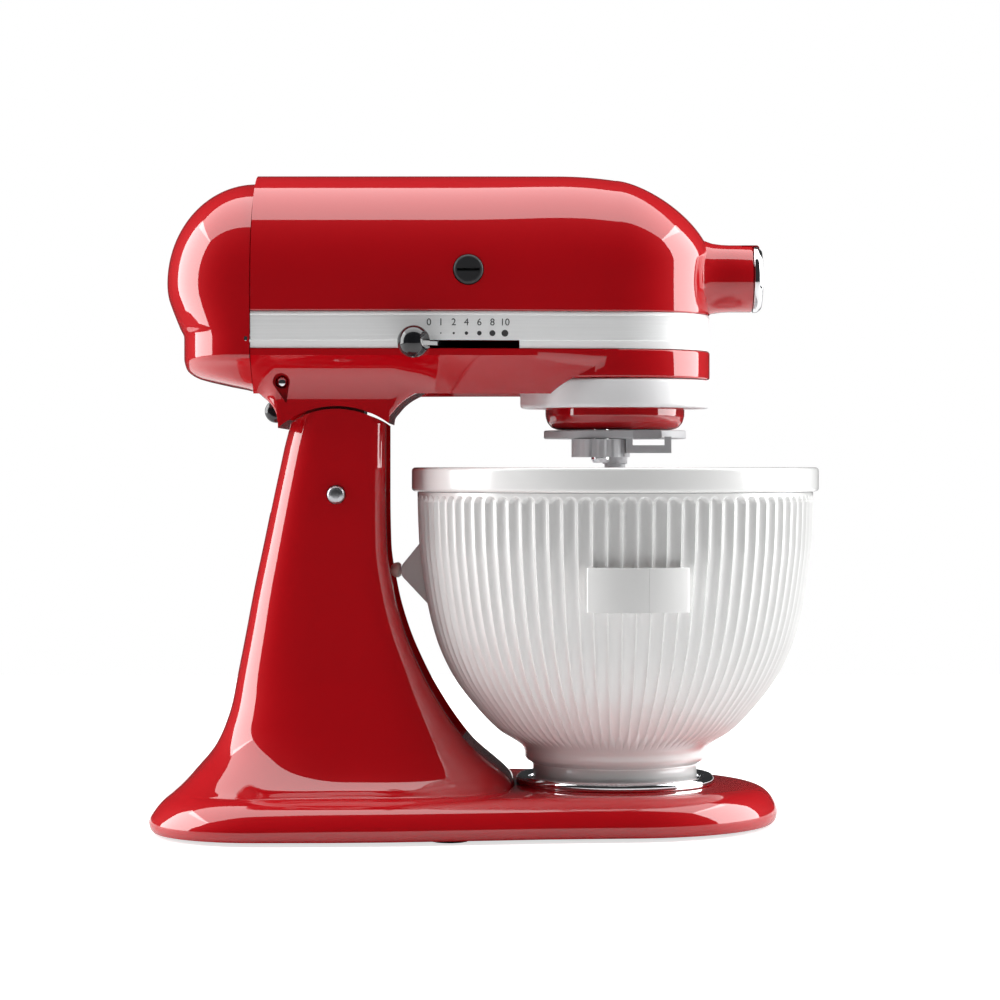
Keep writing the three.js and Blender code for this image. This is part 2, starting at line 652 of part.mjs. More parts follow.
// Flat strip along a path of [x, y] points, round at every point.
function strip(path, width, from, to) {
  let solid = null;
  path.forEach(([x, y], i) => {
    const joint = turned(rod(width / 2, from, to), { x, y, round: 16 });
    solid = solid ? solid.add(joint) : joint;
    if (i === 0) return;
    const [px, py] = path[i - 1];
    const scale = width / 2 / Math.hypot(x - px, y - py);
    const nx = -(y - py) * scale;
    const ny = (x - px) * scale;
    const corners = [[px + nx, py + ny], [x + nx, y + ny], [x - nx, y - ny], [px - nx, py - ny]];
    solid = solid.add(raised(corners, from, to));
  });
  return solid;
}

function speedArm(extra = 0) {
  const path = [[LEVER_PIVOT.x, 0], [-28, -57], [-28.4, -61], [KNOB.x, KNOB.y]];
  return strip(path, 4.6 + 2 * extra, LEVER_PIVOT.z - 1.3 - extra, LEVER_PIVOT.z + 1.3 + extra);
}

function speedKnob() {
  const ball = new THREE.SphereGeometry(KNOB.r, 16, 10);
  return toSolid(ball).translate([KNOB.x, KNOB.y, KNOB.z]).subtract(speedArm(GAP));
}

function lockShaft() {
  return turnedAlongY([[0, -43.5], [2.2, -43], [LOCK.r, -41.5], [LOCK.r, 49.4], [0, 49.4]], LOCK);
}

function lockLever() {
  const plate = acrossY([[-114, 243], [-106, 243], [-105, 238], [-117, 222], [-125, 226]], 1.6);
  const grip = turnedAlongY([[0, 49], [4, 49], [6.5, 51], [6.5, 59], [4, 61], [0, 61]], { x: -120, z: 226 });
  return plate.translate([0, 51.4, 0]).add(grip);
}

function brushCap(side) {
  const profile = [[0, 52], [6, 52], [6, 55], [BRUSH.capR, 55], [BRUSH.capR, 58.6], [6.6, 59.4], [0, 59.4]];
  const cap = turnedAlongY(profile, BRUSH);
  const slot = block([BRUSH.x - 5.5, 58, BRUSH.z - 1], [BRUSH.x + 5.5, 62, BRUSH.z + 1]);
  return side > 0 ? cap.subtract(slot) : cap.subtract(slot).mirror([0, 1, 0]);
}

function brush(side) {
  const y = side > 0 ? [12.4, 51.6] : [-51.6, -12.4];
  return block([BRUSH.x - 3.5, y[0], BRUSH.z - 4], [BRUSH.x + 3.5, y[1], BRUSH.z + 4]);
}

// ---- Planetary and ice-cream drive ----

function planetary() {
  const cup = turned([
    [0, 215], [34, 215], [37, 216.4], [38, 219.4], [38, 230.8], [34.5, 230.8], [34.5, 220], [0, 220],
  ], { round: SIDE_ROUND });
  const boss = turned(rod(10, 218, 230.5), BEATER_SPOT);
  const hole = turned(rod(5 + GAP, 200, 240), BEATER_SPOT);
  return cup.add(boss).subtract(hole);
}

function driveFlange() {
  const profile = [[0, 210], [38, 210], [38.8, 210.8], [38.8, 214.6], [0, 214.6]];
  const flange = turned(profile, { round: SIDE_ROUND });
  const fork = block([73.7, -36, 202.2], [97.9, -31.5, 211]);
  const notch = block([77.2, -40, 206.4], [94.4, -30, 220]);
  const room = turned([[0, 200], [50, 200], [50, 230], [0, 230]], { round: SIDE_ROUND });
  const hole = turned(rod(5 + GAP, 200, 240), BEATER_SPOT);
  return flange.add(fork).intersect(room).subtract(notch).subtract(hole);
}

function driveDrum() {
  const ribs = gearOutline(30, 13, 13.8, 0, BEATER_SPOT);
  return raised(ribs, 200, 209.7).subtract(turned(rod(5 + GAP, 190, 220), BEATER_SPOT));
}

const PEG = { bottom: 186.5, r: 5.7 };

function driveCollar() {
  return turned([
    [0, PEG.bottom], [4.7, PEG.bottom], [PEG.r, PEG.bottom + 1], [PEG.r, 196.5], [6.8, 196.5],
    [6.8, 203], [9.5, 205], [9.5, 209.7], [0, 209.7],
  ]);
}

// ---- Frozen bowl ----

// The bowl's side profile moved inwards, from the lip up to the top.
function bowlWall(inwards, upwards, top = 181.2) {
  const wall = BOWL_OUTER.slice(3, -1)
    .filter((_, i) => i % 2 === 1)
    .map(([r, z]) => [r - inwards, z + upwards]);
  return [...wall, [BOWL_OUTER.at(-1)[0] - inwards, top]];
}

function bowlVessel(outer, inner) {
  const profile = [[0, outer[0][1]], ...outer, ...inner.slice().reverse(), [0, inner[0][1]]];
  return turned(profile, { round: SIDE_ROUND });
}

function sector(radius, centreAngle, halfAngle, from, to) {
  const rim = arc(BOWL_X, 0, radius, centreAngle - halfAngle, centreAngle + halfAngle, 8);
  return raised([[BOWL_X, 0], ...rim], from, to);
}

function sideLoop(angle) {
  const { outerR, thick, rootR, halfAngle, openAngle, bottom, top } = LOOP;
  const outer = sector(outerR, angle, halfAngle, bottom, top);
  const gap = sector(outerR - thick, angle, openAngle, bottom - 1, top + 1);
  return outer.subtract(gap).subtract(turned(rod(rootR, 100, 160), { round: SIDE_ROUND }));
}

function freezeBowl() {
  const inner = bowlWall(2.6, 1.2);
  const profile = [[0, 30], [41.5, 30], [41.5, 24.6], ...BOWL_OUTER];
  const cup = turned([...profile, ...inner.reverse(), [0, inner.at(-1)[1]]], { round: SIDE_ROUND });
  const bracket = acrossY([[-36.5, 154.5], [-47.5, 141], [-47.5, 135.5], [-32.5, 119.5]], 6);
  return cup.add(sideLoop(86)).add(sideLoop(-86)).add(bracket);
}

function bowlRim() {
  return turned([
    [96, BOWL_RIM.bottom], [110, BOWL_RIM.bottom], [BOWL_RIM.r, BOWL_RIM.bottom + 1.5],
    [BOWL_RIM.r, BOWL_RIM.top - 1], [110, BOWL_RIM.top], [97, BOWL_RIM.top], [96, BOWL_RIM.top - 1],
    [96, BOWL_RIM.bottom],
  ], { round: SIDE_ROUND });
}

function rearPin() {
  return turnedAlongX([
    [0, -53.8], [2.4, -53.1], [4, -51.4], [4.2, -49.6], [3.4, -47.8], [0, -47.8],
  ], { z: 138.5 });
}

// Flat frame with two windows, round the middle column of the dasher.
function dasher() {
  const edge = [[20, 62], [46, 62.5], [70, 89], [84, 128], [89, 163], [89.5, 178]];
  const mirrored = edge.map(([r, z]) => [BOWL_X - r, z]);
  const outline = [...edge.map(([r, z]) => [BOWL_X + r, z]), ...mirrored.reverse()];
  const window = [[16, 72], [42, 74], [60, 94], [74, 131], [79, 164], [16, 166]];
  const left = acrossY(window.map(([r, z]) => [BOWL_X - r, z]), 20);
  const right = acrossY(window.map(([r, z]) => [BOWL_X + r, z]), 20);
  const frame = acrossY(outline, 3.2).subtract(left).subtract(right);
  const column = turned([[0, 61.5], [10, 61.5], [10, 178], [12.5, 181], [12.5, 192.5], [0, 192.5]]);
  return frame.add(column).subtract(turned(rod(7.4, PEG.bottom - 1.5, 200)));
}

function coverScrew() {
  const profile = [[0, -174.2], [4.6, -174.2], [4.6, -172], [2.1, -172], [2.1, -152.8], [0, -152.8]];
  return turnedAlongX(profile, { z: HEAD.axleZ });
}

add('hub_cap_pin', turnedAlongY(rod(CAP_HINGE.pinR, -6.4, 6.4), CAP_HINGE), 'steel');
add('cover_screw', coverScrew(), 'steel');
add('field_coil', turnedAlongX(tube(42, 25.6, -95, -46), { z: BRUSH.z }), 'copper');
add('bearing_bracket', turnedAlongX(tube(34, 4.3, 4, 9), { z: BRUSH.z }), 'aluminium');
add('rear_bearing', turnedAlongX(tube(11, 4.3, -138, -130), { z: BRUSH.z }), 'steel');
add('control_board', turnedAlongX(tube(32, 14, -128, -125), { z: BRUSH.z }), 'board');
add('cord_inlet', turnedAlongX([[0, -164], [5, -164], [6.4, -163], [6.4, -150], [0, -150]],
  CORD_EXIT), 'rubber');
for (const [word, side] of [['left', 1], ['right', -1]]) {
  add(`brush_cap_${word}`, brushCap(side), 'black');
  add(`brush_${word}`, brush(side), 'carbon');
}
add('centre_bearing', turned(tube(14, 6.5, 242.6, 256)), 'steel');
add('ring_gear', ringGear(), 'steel');
add('armature', armature(), 'copper');
add('worm_wheel', wormWheel(), 'brass');
add('centre_gear', centreGear(), 'steel');
add('centre_shaft', centreShaft(), 'steel');
add('planetary', planetary(), 'paint');
add('planet_pinion', planetPinion(), 'steel');
add('beater_shaft', beaterShaft(), 'chrome');
add('hub_drive', hubDrive(), 'steel');
add('hub_cap', hubCap(), 'chrome');
add('hub_knob', hubKnob(), 'black');
add('speed_arm', speedArm(), 'steel');
add('speed_knob', speedKnob(), 'black');
add('lock_shaft', lockShaft(), 'chrome');
add('lock_lever', lockLever(), 'black');
add('drive_flange', driveFlange(), 'grey');
add('drive_drum', driveDrum(), 'grey');
add('drive_collar', driveCollar(), 'grey');
add('freeze_bowl', freezeBowl(), 'white');
add('bowl_gel', bowlVessel(bowlWall(2.9, 1.5), bowlWall(12, 6)), 'gel');
add('bowl_liner', bowlVessel(bowlWall(12.3, 6.3, 193.8), bowlWall(13.8, 7.8, 193.8)), 'aluminium');
add('bowl_rim', bowlRim(), 'white');
add('rear_pin', rearPin(), 'steel');
add('dasher', dasher(), 'white');

export default object;
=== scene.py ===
"""Looks of the ice cream maker: smooth shells, finishes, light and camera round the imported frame."""

import math

import bmesh
import bpy
from mathutils import Matrix, Vector


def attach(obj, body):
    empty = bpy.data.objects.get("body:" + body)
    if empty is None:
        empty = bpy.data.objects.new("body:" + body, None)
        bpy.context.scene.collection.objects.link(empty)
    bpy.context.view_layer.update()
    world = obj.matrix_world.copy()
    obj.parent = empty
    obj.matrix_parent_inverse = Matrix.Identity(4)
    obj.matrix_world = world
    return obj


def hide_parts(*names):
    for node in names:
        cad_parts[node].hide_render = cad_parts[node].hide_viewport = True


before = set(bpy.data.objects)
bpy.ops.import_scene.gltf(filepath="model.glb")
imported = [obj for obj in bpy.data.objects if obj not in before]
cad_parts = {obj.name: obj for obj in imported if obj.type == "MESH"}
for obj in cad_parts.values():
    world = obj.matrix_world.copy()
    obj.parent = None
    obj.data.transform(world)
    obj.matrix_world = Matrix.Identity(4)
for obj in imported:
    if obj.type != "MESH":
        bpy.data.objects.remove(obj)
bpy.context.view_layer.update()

# ---- Driving dimensions, millimetres ----

MM = 0.001
GAP = 0.3
BOWL_X = 69
PIN_X, PIN_Z, PIN_R = -81, 180, 4.8
ROUND = 128
SMALL_ROUND = 64

# Base: its top, its outline and the middle of the flare under the column.
BASE_TOP = 22
BASE_REAR, BASE_HALF, BASE_CORNER, BASE_FRONT = -180, 107, 60, 88.5
FLARE_X = -77
FEET = [(-152, -68), (-152, 68), (-20, -80), (-20, 80), (136, 0)]

# Head: outline, crown line and the height of its widest line.
HEAD_REAR, HEAD_HALF, NOSE_R = -125.6, 59, 51.7
CROWN, CROWN_END, CROWN_DROP, TAPER_X, AXLE_Z, NOSE_AXLE_Z = 353.4, 38, 2.3, -20, 294, 310
WALL = 4
BAND_TOP, BAND_BOTTOM, BAND_THICK = 277.1, 257.6, 1.2
CREASE_Z = 253.8
COVER_X, COVER_END, COVER_RISE = -126, -174.9, 55
CORD_EXIT = (0, 30, 258)

# Attachment hub and its fittings.
HUB_Z, HUB_R, HUB_FACE = 297.6, 18.3, 143.7
HUB_KNOB = (132, 0, HUB_Z)
CAP_PIN = (145.9, 0, 313.9)
CAP_PIN_R = 0.8

# Controls on the flanks.
BRUSH_X, BRUSH_Z, BRUSH_R = -10.5, 299, 7.9
SLOT_FROM, SLOT_TO, SLOT_TOP = -31, 16.5, 261.8
LEVER_X, LEVER_Z = -7.25, 259.8
KNOB = (-39, -72, 260.4)
KNOB_R = 8.6
LOCK_X, LOCK_Z, LOCK_R = -110, 240, 3.2

# Drive and bowl.
BEATER = (60.407, -24.539, 0)
BEATER_R = 5
FLUTES = 88
FLUTE_TOP, FLUTE_BOTTOM, FLUTE_DEPTH = 179.5, 45, 2.3
LOOP_REACH = 119


# ---- Camera, light and floor ----

def camera():
    """Level camera that looks along +Y from 1.65 m, near the height of the bowl's rim."""
    data = bpy.data.cameras.new("camera")
    data.lens = 108.6
    data.sensor_width = 36
    data.shift_y = -0.035
    data.clip_end = 20
    made = bpy.data.objects.new("camera", data)
    made.location = (0.0062, -1.65, 0.1958)
    made.rotation_euler = (math.radians(90), 0, 0)
    bpy.context.scene.collection.objects.link(made)
    bpy.context.scene.camera = made


def area_light(name, place, target, size, power):
    """Rectangular panel, aimed at a target and out of the camera's sight."""
    data = bpy.data.lights.new(name, "AREA")
    data.shape = "RECTANGLE"
    data.size, data.size_y = size
    data.energy = power
    made = bpy.data.objects.new(name, data)
    made.visible_camera = False
    made.location = place
    direction = Vector(target) - Vector(place)
    made.rotation_euler = direction.to_track_quat("-Z", "Y").to_euler()
    bpy.context.scene.collection.objects.link(made)


def studio():
    """Panels to the left, to the right and overhead, as a product photograph is lit."""
    for word, side in (("left_panel", -1), ("right_panel", 1)):
        area_light(word, (1.95 * side, 0.2, 0.9), (0, 0, 0.5), (1.7, 2.1), 62)
    area_light("top_panel", (0, 0.12, 1.95), (0, 0.05, 0), (3.9, 1.6), 56)
    world = bpy.data.worlds.new("studio")
    world.use_nodes = True
    nodes, links = world.node_tree.nodes, world.node_tree.links
    fill = nodes["Background"]
    fill.inputs["Color"].default_value = (0.9, 0.93, 0.96, 1)
    fill.inputs["Strength"].default_value = 0.04
    backdrop = nodes.new("ShaderNodeBackground")
    backdrop.inputs["Color"].default_value = (1, 1, 1, 1)
    backdrop.inputs["Strength"].default_value = 1.0
    seen = nodes.new("ShaderNodeLightPath")
    choice = nodes.new("ShaderNodeMixShader")
    links.new(seen.outputs["Is Camera Ray"], choice.inputs["Fac"])
    links.new(fill.outputs["Background"], choice.inputs[1])
    links.new(backdrop.outputs["Background"], choice.inputs[2])
    links.new(choice.outputs["Shader"], nodes["World Output"].inputs["Surface"])
    bpy.context.scene.world = world
    bpy.context.scene.view_settings.view_transform = "Standard"


def floor():
    """Pale floor; its glow is for the camera only, so the shells mirror a plain lit floor."""
    size = 1.15
    corners = [(-size, -size, 0), (size, -size, 0), (size, size, 0), (-size, size, 0)]
    mesh = bpy.data.meshes.new("floor")
    mesh.from_pydata(corners, [], [(0, 1, 2, 3)])
    made = bpy.data.objects.new("floor", mesh)
    bpy.context.scene.collection.objects.link(made)
    pale = surface("floor", (0.76, 0.76, 0.76), 0.6, mottle=0.01, mottle_scale=6, Emission_Color=(1, 1, 1, 1))
    nodes, links = pale.node_tree.nodes, pale.node_tree.links
    seen, glow = nodes.new("ShaderNodeLightPath"), nodes.new("ShaderNodeMath")
    glow.operation = "MULTIPLY"
    glow.inputs[1].default_value = 0.7
    links.new(seen.outputs["Is Camera Ray"], glow.inputs[0])
    links.new(glow.outputs["Value"], nodes["Principled BSDF"].inputs["Emission Strength"])
    made.data.materials.append(pale)


# ---- Materials ----

def srgb(red, green, blue):
    """Linear colour of an 8-bit display colour."""
    values = [c / 255 for c in (red, green, blue)]
    return tuple(c / 12.92 if c <= 0.04045 else ((c + 0.055) / 1.055) ** 2.4 for c in values)


def surface(name, color, roughness, metallic=0.0, mottle=0.06, mottle_scale=40, bump=0.0, bump_scale=400,
            stretch=(1, 1, 1), **sockets):
    """Principled material whose colour and roughness drift over the surface, with a fine bump."""
    material = bpy.data.materials.new(name)
    material.use_nodes = True
    nodes, links = material.node_tree.nodes, material.node_tree.links
    shader = nodes["Principled BSDF"]
    shader.inputs["Metallic"].default_value = metallic
    for socket, value in sockets.items():
        shader.inputs[socket.replace("_", " ")].default_value = value
    place = nodes.new("ShaderNodeTexCoord")
    mapping = nodes.new("ShaderNodeMapping")
    mapping.inputs["Scale"].default_value = stretch
    links.new(place.outputs["Object"], mapping.inputs["Vector"])
    drift = nodes.new("ShaderNodeTexNoise")
    drift.inputs["Scale"].default_value = mottle_scale
    drift.inputs["Detail"].default_value = 4
    links.new(mapping.outputs["Vector"], drift.inputs["Vector"])
    tint = nodes.new("ShaderNodeValToRGB")
    tint.color_ramp.elements[0].position = 0.3
    tint.color_ramp.elements[1].position = 0.7
    tint.color_ramp.elements[0].color = (*[c * (1 - mottle) for c in color], 1)
    tint.color_ramp.elements[1].color = (*[min(1, c * (1 + mottle)) for c in color], 1)
    links.new(drift.outputs["Fac"], tint.inputs["Fac"])
    links.new(tint.outputs["Color"], shader.inputs["Base Color"])
    spread = nodes.new("ShaderNodeMapRange")
    spread.inputs["To Min"].default_value = roughness * 0.85
    spread.inputs["To Max"].default_value = min(1, roughness * 1.15)
    links.new(drift.outputs["Fac"], spread.inputs["Value"])
    links.new(spread.outputs["Result"], shader.inputs["Roughness"])
    if bump:
        grain = nodes.new("ShaderNodeTexNoise")
        grain.inputs["Scale"].default_value = bump_scale
        grain.inputs["Detail"].default_value = 2
        links.new(mapping.outputs["Vector"], grain.inputs["Vector"])
        relief = nodes.new("ShaderNodeBump")
        relief.inputs["Strength"].default_value = bump
        relief.inputs["Distance"].default_value = 0.0002
        links.new(grain.outputs["Fac"], relief.inputs["Height"])
        links.new(relief.outputs["Normal"], shader.inputs["Normal"])
    return material


def red_enamel():
    return surface("red_enamel", srgb(186, 0, 14), 0.5, mottle=0.02, mottle_scale=12, bump=0.02,
                   bump_scale=900, Specular_IOR_Level=0.05, Coat_Weight=1.0, Coat_Roughness=0.02,
                   Coat_IOR=1.75)


def polished_chrome():
    return surface("polished_chrome", srgb(225, 226, 228), 0.08, 1.0, mottle=0.02, bump=0.02)


def satin_steel():
    return surface("satin_steel", srgb(180, 181, 184), 0.3, 1.0, bump=0.15, stretch=(1, 1, 12))


def brushed_aluminium():
    return surface("brushed_aluminium", srgb(248, 249, 249), 0.45, 0.08, mottle=0.03, mottle_scale=220,
                   bump=0.25, bump_scale=500, stretch=(0.06, 0.06, 4), Anisotropic=0.4)


def satin_metal():
    return surface("satin_metal", srgb(250, 250, 251), 0.36, 0.05, mottle=0.02, bump=0.05)


def white_plastic():
    return surface("white_plastic", srgb(236, 236, 235), 0.4, mottle=0.01, mottle_scale=30, bump=0.03,
                   bump_scale=700, Coat_Weight=1.0, Coat_Roughness=0.16, Coat_IOR=1.7)


def frosted_plastic():
    return surface("frosted_plastic", srgb(226, 219, 213), 0.4, mottle=0.02, bump=0.1, Subsurface_Weight=0.4,
                   Subsurface_Scale=0.006)


def grey_plastic():
    return surface("grey_plastic", srgb(204, 205, 207), 0.42, mottle=0.04, bump=0.2, bump_scale=900)


def black_gloss():
    return surface("black_gloss", srgb(26, 26, 29), 0.14, mottle=0.1, bump=0.03, Coat_Weight=0.6,
                   Coat_Roughness=0.05)


def black_satin():
    return surface("black_satin", srgb(38, 38, 40), 0.4, mottle=0.1, bump=0.15)


def dark_rubber():
    return surface("dark_rubber", srgb(34, 34, 35), 0.8, mottle=0.12, bump=0.4, bump_scale=1200)


def ink():
    return surface("ink", srgb(58, 58, 60), 0.5, mottle=0.05)


def copper_winding():
    return surface("copper_winding", srgb(176, 104, 60), 0.35, 0.9, mottle=0.15, bump=0.5, bump_scale=600,
                   stretch=(1, 8, 1))


def gear_bronze():
    return surface("gear_bronze", srgb(182, 150, 88), 0.32, 1.0, mottle=0.06, bump=0.2)


def pressed_carbon():
    return surface("pressed_carbon", srgb(44, 44, 47), 0.7, 0.1, mottle=0.15, bump=0.4)


def coolant():
    return surface("coolant", srgb(190, 210, 222), 0.4, mottle=0.04, Subsurface_Weight=0.3)


def phenolic_board():
    return surface("phenolic_board", srgb(110, 84, 48), 0.55, mottle=0.1, bump=0.2)


# ---- Mesh helpers; every length given to them is in millimetres ----

def make_object(name, points, faces):
    """Closed mesh with merged points and outward faces."""
    mesh = bpy.data.meshes.new(name)
    mesh.from_pydata([Vector(p) * MM for p in points], [], faces)
    clean = bmesh.new()
    clean.from_mesh(mesh)
    bmesh.ops.remove_doubles(clean, verts=clean.verts, dist=1e-7)
    bmesh.ops.recalc_face_normals(clean, faces=clean.faces)
    clean.to_mesh(mesh)
    clean.free()
    made = bpy.data.objects.new(name, mesh)
    bpy.context.scene.collection.objects.link(made)
    return made


def skin(name, rings, closed=False, cap_end=True):
    """Surface over rings of equal length; a closed stack runs from the last ring back to the first."""
    count = len(rings[0])
    points = [p for ring in rings for p in ring]
    faces = []
    spans = len(rings) if closed else len(rings) - 1
    for r in range(spans):
        here, there = r * count, (r + 1) % len(rings) * count
        for i in range(count):
            j = (i + 1) % count
            faces.append((here + i, here + j, there + j, there + i))
    if not closed:
        faces.append(tuple(reversed(range(count))))
        if cap_end:
            faces.append(tuple(range((len(rings) - 1) * count, len(rings) * count)))
    return make_object(name, points, faces)


AXES = {
    "x": lambda a, b, c: (c, a, b),
    "y": lambda a, b, c: (b, c, a),
    "z": lambda a, b, c: (a, b, c),
}


def lathe(name, profile, centre=(0, 0, 0), axis="z", steps=ROUND, closed=False):
    """Turned solid; the profile is (radius, place along the axis)."""
    turn = AXES[axis]
    rings = []
    for radius, along in profile:
        ring = []
        for i in range(steps):
            a = 2 * math.pi * i / steps
            p = turn(radius * math.cos(a), radius * math.sin(a), along)
            ring.append(tuple(c + d for c, d in zip(centre, p)))
        rings.append(ring)
    return skin(name, rings, closed=closed)


def soften(points, radius, closed=False, steps=4):
    """Outline with its corners rounded by short curves."""
    points = [Vector(p) for p in points]
    count = len(points)
    made = []
    for i, here in enumerate(points):
        if not closed and i in (0, count - 1):
            made.append(tuple(here))
            continue
        before, after = points[i - 1] - here, points[(i + 1) % count] - here
        start = here + before.normalized() * min(radius, before.length * 0.45)
        end = here + after.normalized() * min(radius, after.length * 0.45)
        for k in range(steps + 1):
            t = k / steps
            made.append(tuple(start * (1 - t) ** 2 + here * 2 * t * (1 - t) + end * t ** 2))
    return made


def rod(radius, start, end, edge=0.4):
    return soften([(0, start), (radius, start), (radius, end), (0, end)], edge)


def prism(name, outline, low, high):
    """Outline in X and Y carried up from low to high."""
    rings = [[(x, y, z) for x, y in outline] for z in (low, high)]
    return skin(name, rings)


def side_prism(name, outline, start, end):
    """Outline in X and Z carried along Y."""
    rings = [[(x, y, z) for x, z in outline] for y in (start, end)]
    return skin(name, rings)


def block(name, low, high):
    outline = [(low[0], low[1]), (high[0], low[1]), (high[0], high[1]), (low[0], high[1])]
    return prism(name, outline, low[2], high[2])


def arc(cx, cy, radius, start, end, steps):
    turns = [math.radians(start + (end - start) * i / steps) for i in range(steps + 1)]
    return [(cx + radius * math.cos(a), cy + radius * math.sin(a)) for a in turns]


def combine(target, other, operation):
    """Boolean of two objects, kept in the first; the second is used up."""
    modifier = target.modifiers.new(operation, "BOOLEAN")
    modifier.operation = operation
    modifier.solver = "EXACT"
    modifier.object = other
    bpy.context.view_layer.update()
    evaluated = target.evaluated_get(bpy.context.evaluated_depsgraph_get())
    mesh = bpy.data.meshes.new_from_object(evaluated)
    target.modifiers.clear()
    target.data = mesh
    bpy.data.objects.remove(other)
    return target


def cut(target, other):
    return combine(target, other, "DIFFERENCE")


def join(target, other):
    return combine(target, other, "UNION")


def drill(target, radius, start, end, centre, axis="z", steps=48):
    """Round hole with square ends along an axis."""
    return cut(target, lathe("drill", rod(radius, start, end, 0.01), centre, axis, steps))


def place(piece, body, slot, material, nodes=(), angle=32, bevel=0.0):
    """Shades a piece, gives it its finish and fixes it to its body."""
    piece.data.materials.clear()
    piece.data.materials.append(material)
    piece.data.shade_smooth()
    piece.data.set_sharp_from_angle(angle=math.radians(angle))
    if bevel:
        edge = piece.modifiers.new("edge", "BEVEL")
        edge.width = bevel * MM
        edge.segments = 3
        edge.limit_method = "ANGLE"
        edge.angle_limit = math.radians(angle)
        edge.harden_normals = True
    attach(piece, body)
    if nodes:
        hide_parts(*nodes)


def smooth_table(rows, key):
    """Smooth reading of a table of rows at a key in the first column, without overshoot."""
    if key <= rows[0][0]:
        return rows[0][1:]
    if key >= rows[-1][0]:
        return rows[-1][1:]
    k = next(i for i in range(1, len(rows)) if key <= rows[i][0])
    low, high = rows[k - 1], rows[k]
    span = high[0] - low[0]
    t = (key - low[0]) / span
    values = []
    for column in range(1, len(low)):
        slopes = []
        for i in (k - 1, k):
            before, here, after = rows[max(i - 1, 0)], rows[i], rows[min(i + 1, len(rows) - 1)]
            left = (here[column] - before[column]) / ((here[0] - before[0]) or 1)
            right = (after[column] - here[column]) / ((after[0] - here[0]) or 1)
            slopes.append(2 * left * right / (left + right) if left * right > 0 else 0)
        low_share = 2 * t ** 3 - 3 * t ** 2 + 1
        high_share = -2 * t ** 3 + 3 * t ** 2
        low_lean = (t ** 3 - 2 * t ** 2 + t) * span * slopes[0]
        high_lean = (t ** 3 - t ** 2) * span * slopes[1]
        values.append(low_share * low[column] + high_share * high[column] + low_lean + high_lean)
    return tuple(values)


# ---- Pedestal ----

# Height, rear edge, front edge and half-width of the column.
COLUMN_LEVELS = [
    (22, -168.4, 14.3, 80), (25, -165.5, 13.6, 75.5), (29, -161.5, 10.5, 71.5), (34.5, -156, 4, 67.5),
    (40, -151, -3, 64.7), (45, -147.5, -8.5, 62.6), (56, -142.5, -17.5, 58.8), (67, -139, -25, 55.6),
    (82.6, -136, -34, 51.5), (105.6, -131.5, -44, 49), (127, -127.5, -50, 47.5), (153, -122, -54, 46.5),
    (179.5, -116.5, -54.5, 46), (202.6, -111.5, -54.5, 45.5), (230, -106, -54.5, 45),
]
# Height and inset of the flare that rises from the base behind and beside the column.
FLARE = [
    (7.5, 0), (10, 1), (12.6, 2.8), (15.5, 4.8), (18.5, 7.5), (22, 12), (28, 18.5), (34.5, 24), (40, 28.5),
    (45, 32), (56, 38), (67, 41.5),
]
# Height and inset of the rounded edge of the base.
BASE_EDGE = [
    (2, 2.2), (3, 1.1), (5, 0.3), (7.5, 0), (10, 0.4), (12.5, 1.5), (15, 2.9), (17.5, 5),
    (19.3, 7.3), (20.6, 10), (21.5, 13.2), (22, 17),
]
# Side of the base between its rear corner and its nose.
BASE_WAIST = [(-82, 106.5), (-50, 104), (-25, 100.5), (5, 96), (30, 91.8)]
RING_STEPS = 200


def base_outline(inset):
    corner = arc(BASE_REAR + BASE_CORNER, BASE_HALF - BASE_CORNER, BASE_CORNER - inset, 180, 90, 24)
    waist = [(x, y - inset) for x, y in BASE_WAIST]
    nose = arc(BOWL_X, 0, BASE_FRONT - inset, 80, 0, 40)
    return corner + waist + nose


def outline_reach(outline, turn):
    """Distance from the flare's middle to an outline of the +Y half, along a direction."""
    turn = abs((turn + math.pi) % (2 * math.pi) - math.pi)
    across, up = math.cos(turn), math.sin(turn)
    points = [(x - FLARE_X, y) for x, y in [(outline[0][0], 0)] + outline]
    for (x0, y0), (x1, y1) in zip(points, points[1:]):
        if math.atan2(y1, x1) <= turn <= math.atan2(y0, x0):
            spread = across * (y1 - y0) - up * (x1 - x0)
            if spread:
                return (x0 * (y1 - y0) - y0 * (x1 - x0)) / spread
    return points[-1][0]


def column_reach(z, turn):
    """Distance from the flare's middle to the column: round at the rear, square at the front.

    The front corners grow squarer from z 30 to z 90.
    """
    rear, front, half = smooth_table(COLUMN_LEVELS, z)
    centre, reach = (rear + front) / 2, (front - rear) / 2
    shift = centre - FLARE_X
    square = 3 + 4 * min(1, max(0, (z - 30) / 60))
    x, y = math.cos(turn), math.sin(turn)
    low, high = 0, 250
    for _ in range(28):
        r = (low + high) / 2
        dx = (r * x - shift) / reach
        power = 3.4 if dx < 0 else square
        inside = abs(dx) ** power + abs(r * y / half) ** power < 1
        low, high = (r, high) if inside else (low, r)
    return low


def pedestal_ring(z, inset):
    """One level of the casting: base outline low down, flare behind, column above.

    The flare takes over between 88 and 140 degrees round from the front, and ends at z 56.
    """
    flare = smooth_table(FLARE, z)[0] if z > FLARE[0][0] else inset
    rise = 1 - ease((z - 12) / 44)
    front_outline, rear_outline = base_outline(inset), base_outline(flare)
    ring = []
    for i in range(RING_STEPS):
        a = 2 * math.pi * i / RING_STEPS
        rear = ease((math.degrees(math.acos(math.cos(a))) - 88) / 52)
        column = column_reach(max(z, BASE_TOP), a)
        behind = column + (outline_reach(rear_outline, a) - column) * rise
        if z <= BASE_TOP:
            ahead = outline_reach(front_outline, a)
            r = ahead + (behind - ahead) * rear
        else:
            r = column + (behind - column) * rear
        ring.append((FLARE_X + r * math.cos(a), r * math.sin(a), z))
    return ring


